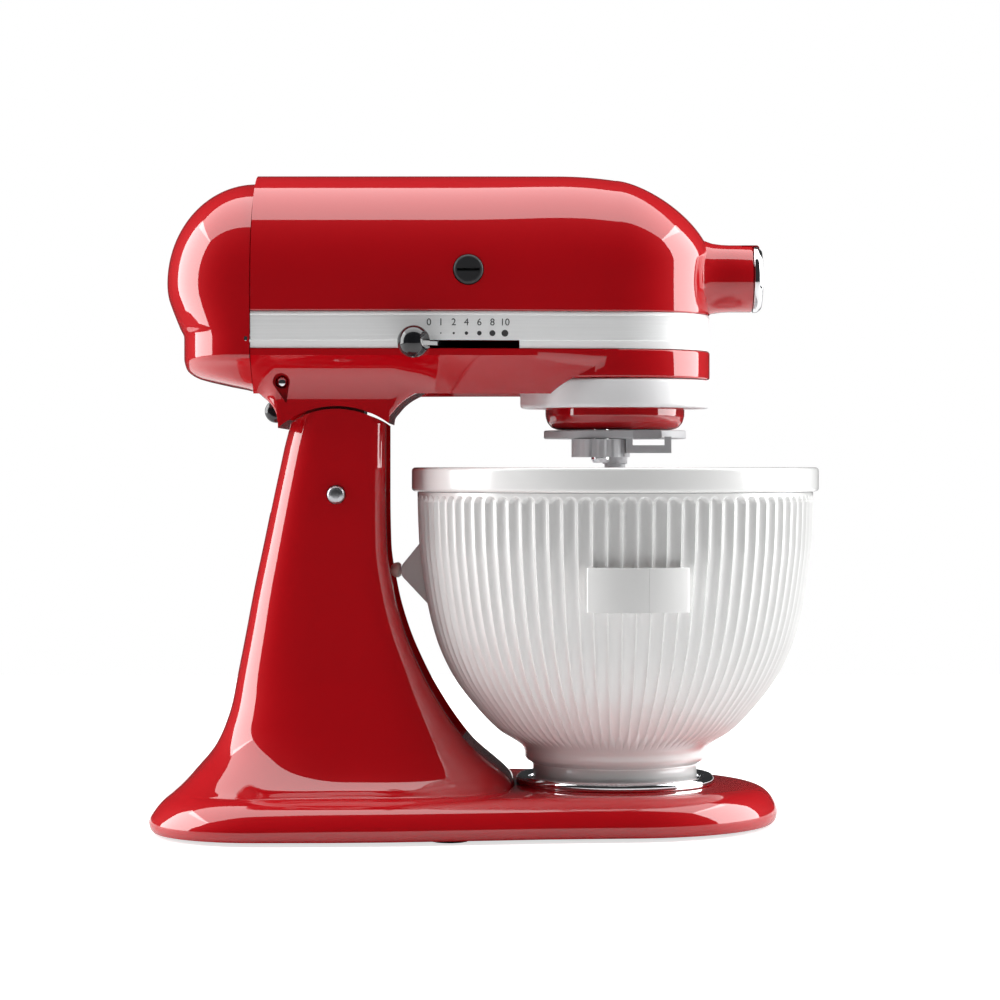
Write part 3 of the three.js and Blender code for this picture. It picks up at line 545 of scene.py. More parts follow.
def recess_cutter():
    """Hollow in the column's front face, shallower towards the top."""
    levels = [48 + 4 * i for i in range(48)]
    depth = [12 - 7 * min(1, max(0, (z - 60) / 120)) for z in levels]
    face = [(smooth_table(COLUMN_LEVELS, z)[1] - d, z) for z, d in zip(levels, depth)]
    return side_prism("recess", face + [(40, 236), (40, 48)], -31, 31)


def pin_arc(radius, start, end, steps):
    return arc(PIN_X, PIN_Z, radius, start, end, steps)


def pedestal(paint):
    rings = [pedestal_ring(z, inset) for z, inset in BASE_EDGE]
    heights = [22.3 + 207.7 * (i / 80) ** 1.4 for i in range(81)]
    rings += [pedestal_ring(z, BASE_EDGE[-1][1]) for z in heights]
    body = skin("pedestal_casting", rings)
    crown = [(PIN_X - 60, 100), (PIN_X + 60, 100), (PIN_X + 60, PIN_Z)]
    crown += pin_arc(45.7, 0, 180, 60) + [(PIN_X - 60, PIN_Z)]
    lid = side_prism("crown", crown, -60, 60)
    above = cut(block("above", (-200, -130, 110), (200, 130, 260)), lid)
    body = cut(body, above)
    body = cut(body, recess_cutter())
    slot = [(PIN_X - 3, PIN_Z - 25)] + pin_arc(25, -90, 60, 24)[1:]
    slot += [(PIN_X + 33, PIN_Z + 57), (PIN_X - 70, PIN_Z + 57), (PIN_X - 70, PIN_Z - 10)]
    slot += pin_arc(25, 204, 262, 12)
    body = cut(body, side_prism("slot", slot, -24, 24))
    body = drill(body, PIN_R + GAP, -70, 70, (PIN_X, 0, PIN_Z), "y")
    place(body, "base", "red_paint", paint, ["pedestal"], angle=34, bevel=0.9)


def base_fittings(chrome, steel, rubber):
    pad = soften([(0, 0), (9.5, 0), (11.5, 1.4), (11.5, 7.7), (0, 7.7)], 0.8)
    for i, (x, y) in enumerate(FEET, 1):
        foot = lathe(f"rubber_foot_{i}", pad, (x, y, 0))
        place(foot, "base", "rubber", rubber, [f"foot_{i}"])
    ring = [(0, 22.3), (54, 22.3), (54, 25.2), (52.6, 27.2), (48.8, 27.2), (47.4, 25.8), (47.4, 24), (0, 24)]
    plate = lathe("bowl_clamp_plate", soften(ring, 0.7), (BOWL_X, 0, 0))
    place(plate, "base", "chrome", chrome, ["clamp_plate"])
    end = 47.6
    head = [(PIN_R, end), (4.1, end + 0.9), (2.4, end + 1.75), (0, end + 2)]
    profile = [(r, -y) for r, y in reversed(head)] + head
    pin = lathe("tilt_hinge_pin", soften(profile, 0.5), (PIN_X, 0, PIN_Z), "y", SMALL_ROUND)
    place(pin, "base", "steel", steel, ["hinge_pin"])


# ---- Head shells ----

def crown_z(x):
    """Height of the top line: level, then falling towards the nose."""
    return CROWN - CROWN_DROP * max(0, (x - CROWN_END) / (BOWL_X - CROWN_END)) ** 2


def ease(t):
    t = min(1, max(0, t))
    return t * t * (3 - 2 * t)


def head_half(x):
    return HEAD_HALF + (NOSE_R - HEAD_HALF) * ease((x - TAPER_X) / (BOWL_X - TAPER_X))


def head_stations(inset, rear=HEAD_REAR, side_steps=48, nose_steps=72):
    """Stations round the head: leaning line, widest point, top height, axle height and roundness."""
    side = []
    for i in range(side_steps):
        x = rear + (BOWL_X - rear) * i / side_steps
        blend = ease((x - 20) / (BOWL_X - 20))
        side.append((x, x, -(head_half(x) - inset), crown_z(x) - inset, AXLE_Z + 5 * blend, 2 - 0.1 * blend))
    nose = []
    for i in range(nose_steps + 1):
        a = math.pi * (i / nose_steps - 0.5)
        front = math.cos(a) ** 1.5
        r = NOSE_R - inset
        nose.append((BOWL_X, BOWL_X + r * math.cos(a), r * math.sin(a), crown_z(BOWL_X) - inset,
                     AXLE_Z + 5 + (NOSE_AXLE_Z - AXLE_Z - 5) * front, 1.9 - 0.4 * front))
    return side + nose + [(c, x, -y, top, axle, power) for c, x, y, top, axle, power in reversed(side)]


def dome_ring(stations, turn):
    ring = []
    for centre, x, y, top, axle, power in stations:
        out = max(0.0, math.cos(turn)) ** (2 / power) if turn < math.pi / 2 else 0
        up = math.sin(turn) ** (2 / power)
        ring.append((centre + (x - centre) * out, y * out, axle + (top - axle) * up))
    return ring


def plan(inset, rear=HEAD_REAR):
    """Outline of the head seen from above, from its -Y rear end round the nose."""
    return [(x, y) for _, x, y, _, _, _ in head_stations(inset, rear)]


def dome(name, levels, inset, rear=HEAD_REAR, steps=40):
    """Housing closed at its crown; the levels are (height, further inset) of its straight skirt."""
    stations = head_stations(inset, rear)
    rings = [[(x, y, z) for x, y in plan(inset + extra, rear)] for z, extra in levels]
    for i in range(steps + 1):
        t = i / steps
        rings.append(dome_ring(stations, math.pi / 2 * (0.75 * t + 0.25 * ease(t))))
    return skin(name, rings, cap_end=False)


def slot_cutter():
    return block("slot", (SLOT_FROM, -70, 240), (SLOT_TO, -50, SLOT_TOP))


def hub_ears():
    """Two ears on the hub's rim that hold the cap's hinge pin."""
    x, _, z = CAP_PIN
    parts = None
    for side in (-1, 1):
        low, high = side * 5.4 - 1, side * 5.4 + 1
        ear = join(block("ear", (138, low, z - 1.6), (x, high, z + 1.6)),
                   lathe("round", rod(1.6, low, high, 0.01), (x, 0, z), "y", 32))
        parts = join(parts, ear) if parts else ear
    return parts


def motor_housing(paint):
    under = BAND_THICK + GAP
    lip = BAND_TOP + GAP
    levels = [(BAND_BOTTOM, under), (lip, under), (lip, 0.25), (lip + 0.3, 0.05), (lip + 0.8, 0), (285, 0)]
    shell = dome("motor_shell", levels, 0)
    profile = [(0, 100), (30, 106), (25, 111), (21.2, 116.5), (19.2, 122), (18.5, 127), (HUB_R, 131),
               (HUB_R, HUB_FACE - 0.8), (HUB_R - 0.3, HUB_FACE - 0.2), (HUB_R - 0.9, HUB_FACE), (0, HUB_FACE)]
    hub = lathe("hub", profile, (0, 0, HUB_Z), "x", 128)
    shell = join(shell, hub)
    shell = join(shell, hub_ears())
    shell = cut(shell, dome("hollow", [(BAND_BOTTOM - 10, 0.5), (285, 0)], WALL, HEAD_REAR - 10, 16))
    shell = drill(shell, 12.7, 90, 160, (0, 0, HUB_Z), "x", 96)
    for side in (-1, 1):
        low, high = sorted((40 * side, 70 * side))
        shell = drill(shell, BRUSH_R + GAP, low, high, (BRUSH_X, 0, BRUSH_Z), "y", 72)
    shell = drill(shell, 3.3, 10, 30, HUB_KNOB, "y", 32)
    shell = drill(shell, CAP_PIN_R + GAP, -10, 10, CAP_PIN, "y", 24)
    shell = cut(shell, slot_cutter())
    place(shell, "head", "red_paint", paint, ["motor_housing"], angle=36)


def trim_band(aluminium):
    """Strip round the head, open at the rear, with a flat lower edge and a fine upper one."""
    section = [(0.85, BAND_BOTTOM), (0.05, BAND_BOTTOM + 4), (0.3, BAND_BOTTOM + 4.3), (0.3, BAND_TOP - 2.2),
               (0, BAND_TOP - 1.9), (0.8, BAND_TOP)]
    rings = [[(x, y, z) for x, y in plan(inset)] for inset, z in section]
    rings += [[(x, y, z) for x, y in plan(BAND_THICK)] for z in (BAND_TOP, BAND_BOTTOM)]
    count = len(rings[0])
    points = [p for ring in rings for p in ring]
    faces = []
    for r in range(len(rings)):
        here, there = r * count, (r + 1) % len(rings) * count
        faces += [(here + i, here + i + 1, there + i + 1, there + i) for i in range(count - 1)]
    faces.append(tuple(r * count for r in range(len(rings))))
    faces.append(tuple(reversed([r * count + count - 1 for r in range(len(rings))])))
    band = cut(make_object("brushed_trim_band", points, faces), slot_cutter())
    place(band, "head", "aluminium", aluminium, ["trim_band"], angle=8)


# Lowest edge of the head's underside along X, from the rear cover over the neck to the nose.
UNDERSIDE = [
    (-125.6, 235.6), (-121, 232.4), (-117, 229), (-114, 225), (-112.2, 219), (-111.5, 190), (-53.6, 190),
    (-53, 220), (-50, 224.6), (-46, 229), (-41, 232.4), (-34, 235.4), (-26, 237.2), (-14, 237.6), (10, 237),
    (40, 236), (BOWL_X, 235),
]


def neck_share(x):
    """How much a section of the underside belongs to the neck, from 0 to 1."""
    return ease((x + 124) / 12) * (1 - ease((x + 50) / 46))


def belly_section(x):
    """Section across the head below the band: the flank curves in to the neck or the underside."""
    half, bottom = head_half(x), smooth_table(UNDERSIDE, x)[0]
    foot = max(226, min(bottom + 3, 234))
    slack = 6 * (1 - neck_share(x))
    control = [
        Vector((half, CREASE_Z)), Vector((50.2, 247.5 - 0.5 * slack)),
        Vector((45.6 - 0.4 * slack, 241.5 - 0.3 * slack)), Vector((45 - 1.2 * slack, foot)),
    ]
    flank = []
    for i in range(13):
        t = i / 12
        weights = ((1 - t) ** 3, 3 * t * (1 - t) ** 2, 3 * t * t * (1 - t), t ** 3)
        flank.append(tuple(sum((w * c for w, c in zip(weights, control)), Vector((0, 0)))))
    edge = control[3].x
    corner = soften([(edge, foot), (edge - 0.4, bottom + 0.5), (edge - 5, bottom), (0, bottom)], 2.4, steps=3)
    half_ring = [(half, BAND_BOTTOM - GAP)] + flank + corner[1:]
    left = [(-y, z) for y, z in reversed(half_ring[:-1])]
    return [(x, y, z) for y, z in half_ring + left]


def belly():
    """Lower shell of the head; its sections stand closer where the neck's walls begin."""
    stops = [HEAD_REAR]
    while stops[-1] < BOWL_X:
        here = stops[-1]
        near_wall = min(abs(here + 112), abs(here + 53)) < 6
        stops.append(min(BOWL_X, here + (0.5 if near_wall else 1.5)))
    return skin("lower_shell", [belly_section(x) for x in stops])


def neck_lug():
    """Tongue that turns on the hinge pin inside the pedestal's slot."""
    lug = lathe("lug", rod(22, -20, 20, 0.8), (PIN_X, 0, PIN_Z), "y", 96)
    web = side_prism("web", [(-92, 180), (-72, 180), (-66, 236), (-102, 236)], -20, 20)
    return join(lug, web)


def lock_recess():
    """Drop-shaped hollow round the end of the lock shaft."""
    outline = arc(LOCK_X, LOCK_Z, 4.6, -30, 200, 24) + [(-107.4, 228.5)]
    return side_prism("recess", soften(outline, 1, closed=True, steps=2), -60, -42.5)


def underside_screws(body, steel):
    """Two sunk screws in the underside, with the wells that they sit in."""
    profile = soften([(0, 236.6), (3.6, 236.6), (3.9, 238.3), (0, 238.3)], 0.4)
    for word, side in (("left", 1), ("right", -1)):
        x, y = 5, 27 * side
        body = drill(body, 4.4, 225, 238.4, (x, y, 0))
        head = lathe(f"underside_screw_{word}", profile, (x, y, 0), steps=48)
        head = cut(head, block("screw_slot", (x - 3.2, y - 0.5, 236), (x + 3.2, y + 0.5, 237.4)))
        place(head, "head", "steel", steel)
    return body


def lower_housing(paint, steel):
    top, nose_bottom = BAND_BOTTOM - GAP, 242.3
    profile = soften([(0, nose_bottom), (NOSE_R, nose_bottom), (NOSE_R, top), (0, top)], 1.2)
    nose = lathe("nose", profile, (BOWL_X, 0, 0))
    body = drill(belly(), NOSE_R + GAP, 220, nose_bottom, (BOWL_X, 0, 0), steps=ROUND)
    body = join(body, nose)
    body = drill(body, 47.2, -60, 60, (PIN_X, 0, PIN_Z), "y", 160)
    body = join(body, neck_lug())
    body = cut(body, block("cavity", (-118, -37, 241.5), (60, 37, 262)))
    body = drill(body, 45.7, 247, 270, (BOWL_X, 0, 0), steps=ROUND)
    body = drill(body, 14.3, 230, 260, (BOWL_X, 0, 0))
    body = drill(body, PIN_R + GAP, -60, 60, (PIN_X, 0, PIN_Z), "y")
    body = drill(body, LOCK_R + GAP, -60, 60, (LOCK_X, 0, LOCK_Z), "y", 32)
    body = cut(body, lock_recess())
    body = underside_screws(body, steel)
    place(body, "head", "red_paint", paint, ["lower_housing"], angle=30, bevel=0.7)


# Height, rear reach and half-width of the rear cover below its widest place.
COVER_SKIRT = [
    (235.6, -127.5, 22), (238, -139, 38), (243.4, -159.5, 46), (248, -164.5, 51.5), (253.5, -165.6, 59),
    (259, -165.6, 59), (264.5, -165.6, 59), (269.7, -167.8, 59), (275, -170, 59), (280.6, -172.2, 59),
    (286, -174, 59), (290, -174.7, 59), (294, -174.9, 59),
]


def cover_ring(z, end, half, front, steps=48):
    """Level section of the rear cover: round behind, flat at its front."""
    ring = []
    for i in range(steps + 1):
        a = math.pi * (i / steps + 0.5)
        x = abs(math.cos(a)) ** 0.85
        y = math.copysign(abs(math.sin(a)) ** 0.85, math.sin(a))
        ring.append((COVER_X + (end - COVER_X) * x, half * y, z))
    return ring + [(front, -half, z), (front, half, z)]


def cover_shape(name, inset, front):
    """Skirt with the rear end's line, closed by a quarter dome."""
    rings = []
    steps = 44
    for i in range(steps):
        z = COVER_SKIRT[0][0] + (COVER_SKIRT[-1][0] - COVER_SKIRT[0][0]) * i / (steps - 1)
        end, half = smooth_table(COVER_SKIRT, z)
        lift = inset if z < 250 else 0
        rings.append(cover_ring(z + lift, min(end + inset, COVER_X - 0.5), half - inset, front))
    reach = COVER_END - COVER_X + inset
    for i in range(1, 33):
        a = math.pi / 2 * i / 32
        out = math.cos(a) if i < 32 else 0
        z = AXLE_Z + (COVER_RISE - inset) * math.sin(a)
        rings.append(cover_ring(z, COVER_X + reach * out, (HEAD_HALF - inset) * out, front))
    return skin(name, rings, cap_end=False)


def rear_cover(paint):
    shell = cut(cover_shape("rear_shell", 0, COVER_X), cover_shape("hollow", WALL, COVER_X + 20))
    shell = drill(shell, 5.2, -180, -171.5, (0, 0, AXLE_Z), "x")
    shell = drill(shell, 2.5, -180, -150, (0, 0, AXLE_Z), "x", 32)
    shell = drill(shell, 6.7, -180, -140, CORD_EXIT, "x")
    place(shell, "head", "red_paint", paint, ["rear_cover"], angle=38)


# ---- Head fittings ----

def drip_ring(metal):
    profile = soften([(47, 226.5), (NOSE_R, 226.5), (NOSE_R, 242), (47, 242)], 2.4, closed=True)
    ring = lathe("nose_drip_ring", profile, (BOWL_X, 0, 0), closed=True)
    place(ring, "head", "aluminium", metal, ["drip_ring"])


def brush_caps(black):
    profile = soften([(0, 52), (6, 52), (6, 55), (BRUSH_R, 55), (BRUSH_R, 58.6), (6.6, 59.4), (0, 59.4)], 0.6)
    for word, side in (("left", 1), ("right", -1)):
        turned = [(r, y * side) for r, y in profile]
        cap = lathe(f"motor_brush_cap_{word}", turned, (BRUSH_X, 0, BRUSH_Z), "y", 72)
        low, high = sorted((56.4 * side, 62 * side))
        half_length, half_width = 5.9, 0.75
        slot_low = (BRUSH_X - half_length, low, BRUSH_Z - half_width)
        slot_high = (BRUSH_X + half_length, high, BRUSH_Z + half_width)
        cap = cut(cap, block("screw_slot", slot_low, slot_high))
        place(cap, "head", "black_plastic", black, [f"brush_cap_{word}"])


def cover_screw(steel):
    profile = [(0, -174.2), (3.4, -174), (4.6, -173), (4.6, -172), (2.1, -172), (2.1, -152.8), (0, -152.8)]
    screw = lathe("rear_cover_screw", soften(profile, 0.4), (0, 0, AXLE_Z), "x", 48)
    screw = cut(screw, block("screw_slot", (-175, -0.6, AXLE_Z - 4.7), (-173.2, 0.6, AXLE_Z + 4.7)))
    place(screw, "head", "steel", steel, ["cover_screw"])


def cord_inlet(rubber):
    outline = [(2.6, -160), (2.6, -164), (5, -164), (6.4, -162.8), (6.4, -150), (2.6, -150)]
    bush = lathe("power_cord_inlet", soften(outline, 0.6, closed=True), CORD_EXIT, "x", 48, closed=True)
    place(bush, "head", "rubber", rubber, ["cord_inlet"])


def hub_parts(chrome, black, steel):
    profile = soften([(0, 144), (18.5, 144), (18.5, 146.6), (16.4, 148.9), (0, 148.9)], 0.8)
    cap = lathe("hub_cap_disc", profile, (0, 0, HUB_Z), "x", 96)
    cap = cut(cap, block("notch", (140, -8, 311.5), (150, 8, 320)))
    lug = block("lug", (144, -4, 304), (147.4, 4, CAP_PIN[2]))
    lug = join(lug, lathe("barrel", rod(1.7, -4, 4), CAP_PIN, "y", 32))
    cap = drill(join(cap, lug), CAP_PIN_R + GAP, -10, 10, CAP_PIN, "y", 24)
    place(cap, "hub_cap", "chrome", chrome, ["hub_cap"])
    pin = lathe("hub_cap_hinge_pin", rod(CAP_PIN_R, -6.4, 6.4, 0.2), CAP_PIN, "y", 24)
    place(pin, "head", "steel", steel, ["hub_cap_pin"])
    lobes, steps = 12, 144
    outline = []
    for i in range(steps):
        a = 2 * math.pi * i / steps
        r = 11.6 + 0.6 * math.cos(lobes * a)
        outline.append((HUB_KNOB[0] + r * math.cos(a), HUB_Z + r * math.sin(a)))
    grip = side_prism("hub_locking_knob", outline, 21.5, 35.5)
    grip = join(grip, lathe("stem", rod(3, 13.2, 24), HUB_KNOB, "y", 32))
    place(grip, "hub_knob", "black_plastic", black, ["hub_knob"], bevel=0.9)


def bar(start, end, half_width, low, high):
    """Straight flat bar between two points of a plan."""
    (x0, y0), (x1, y1) = start, end
    scale = half_width / math.hypot(x1 - x0, y1 - y0)
    nx, ny = -(y1 - y0) * scale, (x1 - x0) * scale
    outline = [(x0 + nx, y0 + ny), (x1 + nx, y1 + ny), (x1 - nx, y1 - ny), (x0 - nx, y0 - ny)]
    return prism("bar", outline, low, high)


def half_circle(radius, steps):
    """Profile of a ball, from its lowest point to its highest."""
    turns = [math.pi * i / steps for i in range(steps + 1)]
    return [(radius * math.sin(a), -radius * math.cos(a)) for a in turns]


def lever_arm():
    """Thin arm from inside the band's slot, bent towards the knob."""
    path = [(LEVER_X, 0), (-28, -57), (-28.4, -61), (KNOB[0] + 2.2, KNOB[1] + 2.3)]
    half_width, low, high = 2.3, LEVER_Z - 1, LEVER_Z + 1
    arm = lathe("joint", rod(half_width, low, high, 0.3), (*path[0], 0), "z", 32)
    for start, end in zip(path, path[1:]):
        arm = join(arm, lathe("joint", rod(half_width, low, high, 0.3), (*end, 0), "z", 32))
        arm = join(arm, bar(start, end, half_width, low, high))
    arm.name = "speed_lever_arm"
    return arm


def speed_lever(black):
    place(lever_arm(), "speed_lever", "black_plastic", black, ["speed_arm"], bevel=0.25)
    x, y, z = KNOB
    grip = lathe("speed_lever_knob", half_circle(KNOB_R, 24), KNOB, "z", SMALL_ROUND)
    grip = cut(grip, lathe("dish", half_circle(5.4, 20), (x + 8, y - 4.6, z + 0.6), "z", 48))
    grip = cut(grip, block("seat", (x - 0.6, y - 0.3, LEVER_Z - 1.3), (x + 20, y + 20, LEVER_Z + 1.3)))
    place(grip, "speed_lever", "black_plastic", black, ["speed_knob"])


def lock(chrome, black):
    profile = soften([(0, -43.5), (2.2, -43), (LOCK_R, -41.5), (LOCK_R, 49.4), (0, 49.4)], 0.4)
    shaft = lathe("head_lock_shaft", profile, (LOCK_X, 0, LOCK_Z), "y", 48)
    place(shaft, "lock", "chrome", chrome, ["lock_shaft"])
    outline = [(-114, 243), (-106, 243), (-105, 238), (-117, 222), (-125, 226)]
    lever = side_prism("head_lock_lever", soften(outline, 3, closed=True), 49.8, 53)
    knob = [(0, 49), (4, 49), (6.5, 51), (6.5, 59), (4, 61), (0, 61)]
    lever = join(lever, lathe("grip", soften(knob, 1.2), (-120, 0, 226), "y", 48))
    place(lever, "lock", "black_plastic", black, ["lock_lever"], bevel=0.4)


# Numeral, its place along the band and the radius of the dot under it.
SPEEDS = [
    ("0", -31.3, 0), ("1", -25, 0.35), ("2", -18.2, 0.6), ("4", -11.5, 0.9),
    ("6", -4.7, 1.2), ("8", 2.2, 1.55), ("10", 8.8, 1.8),
]
NUMERAL_Z, DOT_Z = 271.1, 265.4


def on_band(x, z):
    """Place and lean of a mark on the near face of the band."""
    slope = head_half(x + 0.5) - head_half(x - 0.5)
    here = Matrix.Translation(Vector((x, -head_half(x) + 0.26, z)) * MM)
    return here @ Matrix.Rotation(math.atan(-slope), 4, "Z") @ Matrix.Rotation(math.pi / 2, 4, "X")


def speed_marks(dark):
    """Printed numerals of the speed scale, each with a dot that grows with the speed."""
    for word, x, radius in SPEEDS:
        letters = bpy.data.curves.new("numeral", "FONT")
        letters.body = word
        letters.size = 5.2 * MM
        letters.align_x = "CENTER"
        letters.align_y = "CENTER"
        letters.extrude = 0.02 * MM
        drawn = bpy.data.objects.new("numeral", letters)
        bpy.context.scene.collection.objects.link(drawn)
        bpy.context.view_layer.update()
        mesh = bpy.data.meshes.new_from_object(drawn)
        bpy.data.objects.remove(drawn)
        mesh.transform(on_band(x, NUMERAL_Z))
        made = bpy.data.objects.new(f"speed_numeral_{word}", mesh)
        bpy.context.scene.collection.objects.link(made)
        place(made, "head", "black_plastic", dark)
        if radius:
            dot = lathe(f"speed_dot_{word}", rod(radius, -0.02, 0.02, 0.005), (0, 0, 0), "z", 32)
            dot.data.transform(on_band(x, DOT_Z))
            place(dot, "head", "black_plastic", dark)


def band_clips(chrome):
    """Small round-headed fastener at each rear end of the band."""
    profile = [(0, 56), (2.9, 56), (2.9, 57.9), (2.4, 58.6), (1.3, 58.95), (0, HEAD_HALF)]
    for word, side in (("left", 1), ("right", -1)):
        turned = [(r, y * side) for r, y in profile]
        clip = lathe(f"band_end_clip_{word}", turned, (-127.6, 0, 262.6), "y", 40)
        place(clip, "head", "chrome", chrome, angle=50)


# ---- Ice-cream drive ----

def planetary(paint, chrome):
    profile = [(0, 215), (31.5, 215), (34.6, 216.2), (36.9, 218.9), (37.9, 222.4), (38, 230.8), (34.5, 230.8),
               (34.5, 222), (30, 220), (0, 220)]
    cup = lathe("planetary_cup", soften(profile, 0.8), (BOWL_X, 0, 0))
    cup = drill(cup, BEATER_R + GAP, 200, 240, BEATER)
    place(cup, "planetary", "red_paint", paint, ["planetary"])
    profile = [(0, 197), (4, 197), (BEATER_R, 198.5), (BEATER_R, 241), (0, 241)]
    shaft = lathe("beater_drive_shaft", soften(profile, 0.4), BEATER, "z", 48)
    place(shaft, "beater", "chrome", chrome, ["beater_shaft"])


def drive_flange():
    """Disc under the planetary with a U-shaped fork on its near side."""
    disc = soften([(0, 210), (38.8, 210), (38.8, 214.6), (0, 214.6)], 1.0)
    flange = lathe("drive_flange_plate", disc, (BOWL_X, 0, 0))
    flange = join(flange, prism("fork", [(73.7, -36), (97.9, -36), (97.9, -31.5), (73.7, -31.5)], 202.2, 211))
    flange = cut(flange, block("notch", (77.2, -40, 206.4), (94.4, -30.5, 220)))
    return drill(flange, BEATER_R + GAP, 200, 240, BEATER)


def drive_drum():
    """Drum round the beater shaft with flat-topped ribs."""
    ribs, steps = 12, 240
    outline = []
    for i in range(steps):
        a = 2 * math.pi * i / steps
        r = 15.4 + 0.3 * max(-1, min(1, 2.2 * math.cos(ribs * a)))
        outline.append((BEATER[0] + r * math.cos(a), BEATER[1] + r * math.sin(a)))
    return drill(prism("drive_ribbed_drum", outline, 200, 209.7), BEATER_R + GAP, 190, 220, BEATER)


def dasher_drive(grey):
    place(drive_flange(), "planetary", "grey_plastic", grey, ["drive_flange"], bevel=0.4)
    place(drive_drum(), "planetary", "grey_plastic", grey, ["drive_drum"], angle=28)
    profile = [(0, 186.5), (4.7, 186.5), (5.7, 187.5), (5.7, 196.5), (6.8, 196.5), (6.8, 203), (9.5, 205),
               (9.5, 209.7), (0, 209.7)]
    collar = lathe("drive_stepped_collar", soften(profile, 0.5), (BOWL_X, 0, 0), "z", 72)
    place(collar, "planetary", "grey_plastic", grey, ["drive_collar"])


# ---- Frozen bowl ----

# Height and radius of the bowl's outer side.
BOWL_OUTER = [
    (33, 44.7), (36.5, 49.2), (41, 49.6), (52, 64.2), (65, 76.6), (81, 88.4), (100.4, 97.3), (119.8, 102.4),
    (138, 105.3), (154.8, 107.1), (181.2, 107.9),
]


def bowl_radius(z):
    return smooth_table(BOWL_OUTER, z)[0]


def flute_depth(z, across):
    """Depth of one concave flute; across runs from -1 to 1 between its two ridges.

    Its top is a rounded arch, its bottom a point, and it is shallower low on the bowl.
    """
    arch = FLUTE_TOP - 6 * (1 - math.sqrt(max(0, 1 - across * across)))
    top = min(1, max(0, (arch - z) / 1.2))
    bottom = min(1, max(0, (z - FLUTE_BOTTOM - 7 * abs(across)) / 4))
    hollow = 1 - abs(across) ** 2.8
    return FLUTE_DEPTH * hollow * ease(top) * ease(bottom) * (0.55 + 0.45 * min(1, (z - 40) / 60))


def bowl_ring(z, radii):
    """Ring of points round the bowl's axis, with a radius for each."""
    ring = []
    for i, r in enumerate(radii):
        a = 2 * math.pi * i / len(radii)
        ring.append((BOWL_X + r * math.cos(a), r * math.sin(a), z))
    return ring


def fluted_shell():
    """Hollow foot, fluted outer side and smooth inner side, as one skin."""
    per_flute, flutes_from, arches_from = 10, 33.6, FLUTE_TOP - 8
    across = [2 * i / per_flute - 1 for i in range(per_flute)] * FLUTES
    foot = [(0, 30), (41.5, 30), (41.5, 24.6), (44.2, 24.6), (44.7, 25.1), (44.7, 32.2), (45.2, 33)]
    heights = [flutes_from + (arches_from - flutes_from) * i / 80 for i in range(81)]
    heights += [arches_from + 9.7 * i / 26 for i in range(1, 27)]
    inner = [(105, 181.2), (104.2, 156), (99.5, 121), (85.8, 82.2), (61.6, 53.2), (0, 53.2)]
    rings = [bowl_ring(z, [r] * len(across)) for r, z in foot]
    for z in heights:
        radius = bowl_radius(z)
        rings.append(bowl_ring(z, [radius - flute_depth(z, share) for share in across]))
    rings += [bowl_ring(z, [r] * len(across)) for r, z in inner]
    return skin("fluted_bowl_shell", rings)


def side_loop(name, angle):
    """A strap bowed out from the bowl; it reaches furthest in the middle of its width."""
    bow, half_turn, thick = 50, 32, 3.2
    foot_r, foot_from, foot_to = 103.9, 11.2, 12.8
    centre_x = BOWL_X + (LOOP_REACH - bow) * math.cos(math.radians(angle))
    centre_y = (LOOP_REACH - bow) * math.sin(math.radians(angle))
    outer = arc(centre_x, centre_y, bow, angle - half_turn, angle + half_turn, 40)
    inner = arc(centre_x, centre_y, bow - thick, angle + half_turn - 3, angle - half_turn + 3, 40)
    foot_high = arc(BOWL_X, 0, foot_r, angle + foot_to, angle + foot_from, 3)
    foot_low = arc(BOWL_X, 0, foot_r, angle - foot_from, angle - foot_to, 3)
    outline = soften(outer + foot_high + inner + foot_low, 0.9, closed=True, steps=2)
    strap = prism(name, outline, 120.5, 143.4)
    low, high = sorted(math.copysign(LOOP_REACH + past, angle) for past in (-1, 9))
    return cut(strap, block("seam", (BOWL_X + 12.8, low, 110), (BOWL_X + 13.1, high, 150)))


def frozen_bowl(white, frosted):
    place(fluted_shell(), "bowl", "white_plastic", white, ["freeze_bowl"], angle=50)
    for word, angle in (("far", 86), ("near", -86)):
        place(side_loop(f"bowl_side_loop_{word}", angle), "bowl", "white_plastic", white, bevel=0.7)
    outline = soften([(-36.5, 154.5), (-47.5, 141), (-47.5, 135.5), (-32.5, 119.5)], 1.5, closed=True)
    place(side_prism("bowl_rear_bracket", outline, -6, 6), "bowl", "white_plastic", white, bevel=1.0)
    profile = [(0, -53.8), (1.6, -53.5), (3.0, -52.7), (3.9, -51.3), (4.2, -49.6), (3.9, -48.6), (3.3, -48.2),
               (3.3, -47.8), (0, -47.8)]
    pin = lathe("bowl_rear_ball_pin", profile, (0, 0, 138.5), "x", 48)
    place(pin, "bowl", "white_plastic", frosted, ["rear_pin"], angle=60)
    section = soften([(96, 181.5), (111, 181.5), (111, 194.5), (96, 194.5)], 2.2, closed=True, steps=6)
    rim = lathe("bowl_rim_band", section, (BOWL_X, 0, 0), steps=192, closed=True)
    place(rim, "bowl", "white_plastic", white, ["bowl_rim"])


def cold_liner(metal):
    """Thin metal cup inside the bowl."""
    thick, top, floor_z = 1.5, 193.4, 59.8
    inner = [(50.4, floor_z), (74.6, 88.8), (88.6, 127.6), (93.3, 162.6), (94.1, top)]
    outer = [(r + thick, z if z == top else z - thick) for r, z in inner]
    back = list(reversed(soften(inner, 18, steps=8)))
    profile = [(0, floor_z - thick)] + soften(outer, 18, steps=8) + back + [(0, floor_z)]
    liner = lathe("cold_metal_liner", profile, (BOWL_X, 0, 0), steps=160)
    place(liner, "bowl", "aluminium", metal, ["bowl_liner"])


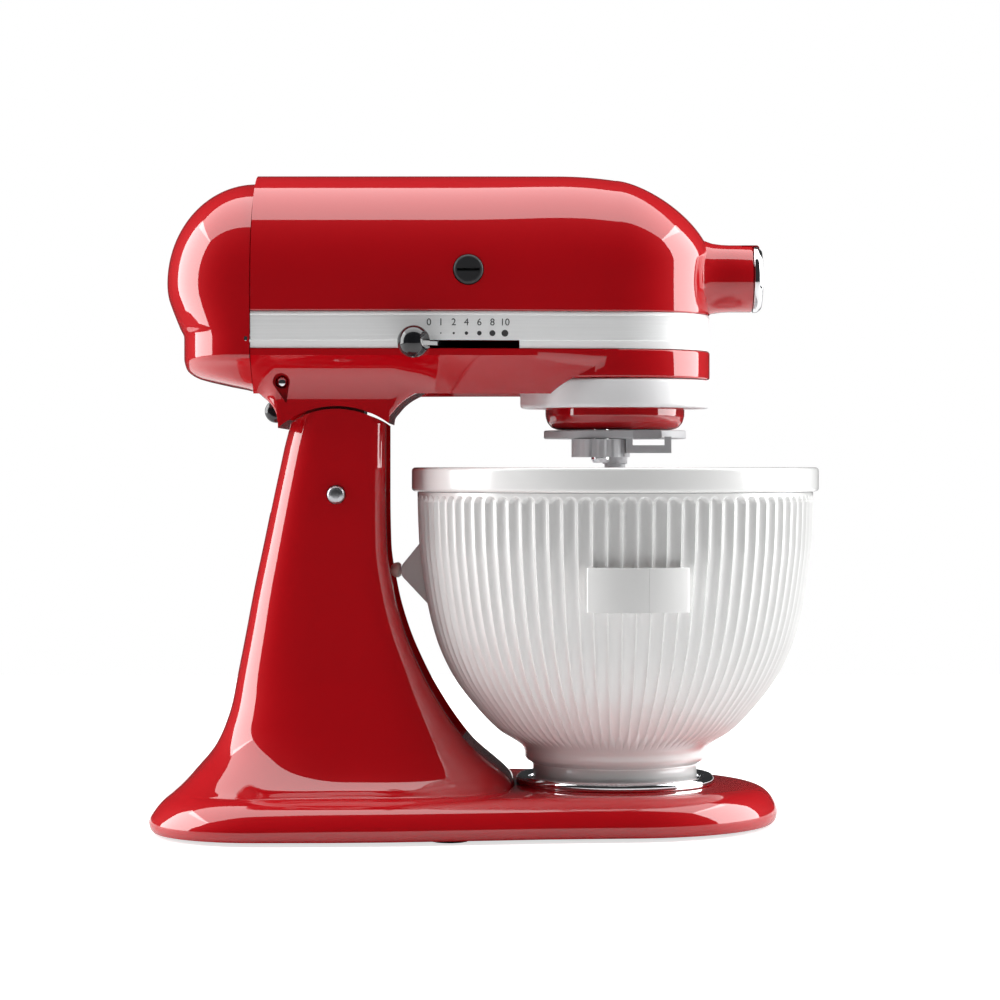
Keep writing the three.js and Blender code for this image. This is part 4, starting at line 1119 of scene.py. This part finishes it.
def dasher(white):
    """Flat frame with an open wing on each side of a hollow column."""
    edge = [(14, 62), (46, 62.5), (70, 89), (84, 128), (89, 163), (89.5, 178)]
    window = [(14, 72), (42, 74), (60, 94), (74, 131), (79, 164), (14, 166)]
    sides = []
    for side in (-1, 1):
        frame_edge = [(BOWL_X, 62)] + [(BOWL_X + side * r, z) for r, z in edge] + [(BOWL_X, 178)]
        panel = side_prism("panel", soften(frame_edge, 8, closed=True), -3, 3)
        opening = [(BOWL_X + side * r, z) for r, z in window]
        hole = side_prism("hole", soften(opening, 6, closed=True), -20, 20)
        sides.append(cut(panel, hole))
    made = join(sides[0], sides[1])
    column = [(0, 61.5), (10, 61.5), (10, 178), (12.5, 181), (12.5, 192.5), (0, 192.5)]
    made = join(made, lathe("column", soften(column, 0.8), (BOWL_X, 0, 0), "z", 64))
    made = drill(made, 7.4, 185, 200, (BOWL_X, 0, 0))
    made.name = "mixing_dasher"
    place(made, "dasher", "white_plastic", white, ["dasher"], bevel=0.8)


# ---- Assembly ----

def give(material, *names):
    """A carried-over piece keeps its shape and gets a finish."""
    for name in names:
        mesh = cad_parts[name].data
        mesh.materials.clear()
        mesh.materials.append(material)


camera()
studio()
floor()

paint = red_enamel()
chrome = polished_chrome()
steel = satin_steel()
metal = satin_metal()
rubber = dark_rubber()
white = white_plastic()
grey = grey_plastic()
gloss = black_gloss()

pedestal(paint)
base_fittings(chrome, steel, rubber)
motor_housing(paint)
lower_housing(paint, steel)
rear_cover(paint)
trim_band(brushed_aluminium())
speed_marks(ink())
band_clips(chrome)
drip_ring(metal)
brush_caps(black_satin())
cover_screw(steel)
cord_inlet(rubber)
hub_parts(chrome, gloss, steel)
speed_lever(gloss)
lock(chrome, gloss)
planetary(paint, chrome)
dasher_drive(grey)
frozen_bowl(white, frosted_plastic())
cold_liner(metal)
dasher(white)

give(steel, "plate_screw_1", "plate_screw_2", "plate_screw_3", "rear_bearing", "centre_bearing", "ring_gear",
     "centre_gear", "centre_shaft", "planet_pinion", "hub_drive")
give(copper_winding(), "field_coil", "armature")
give(gear_bronze(), "worm_wheel")
give(pressed_carbon(), "brush_left", "brush_right")
give(metal, "bearing_bracket")
give(coolant(), "bowl_gel")
give(phenolic_board(), "control_board")
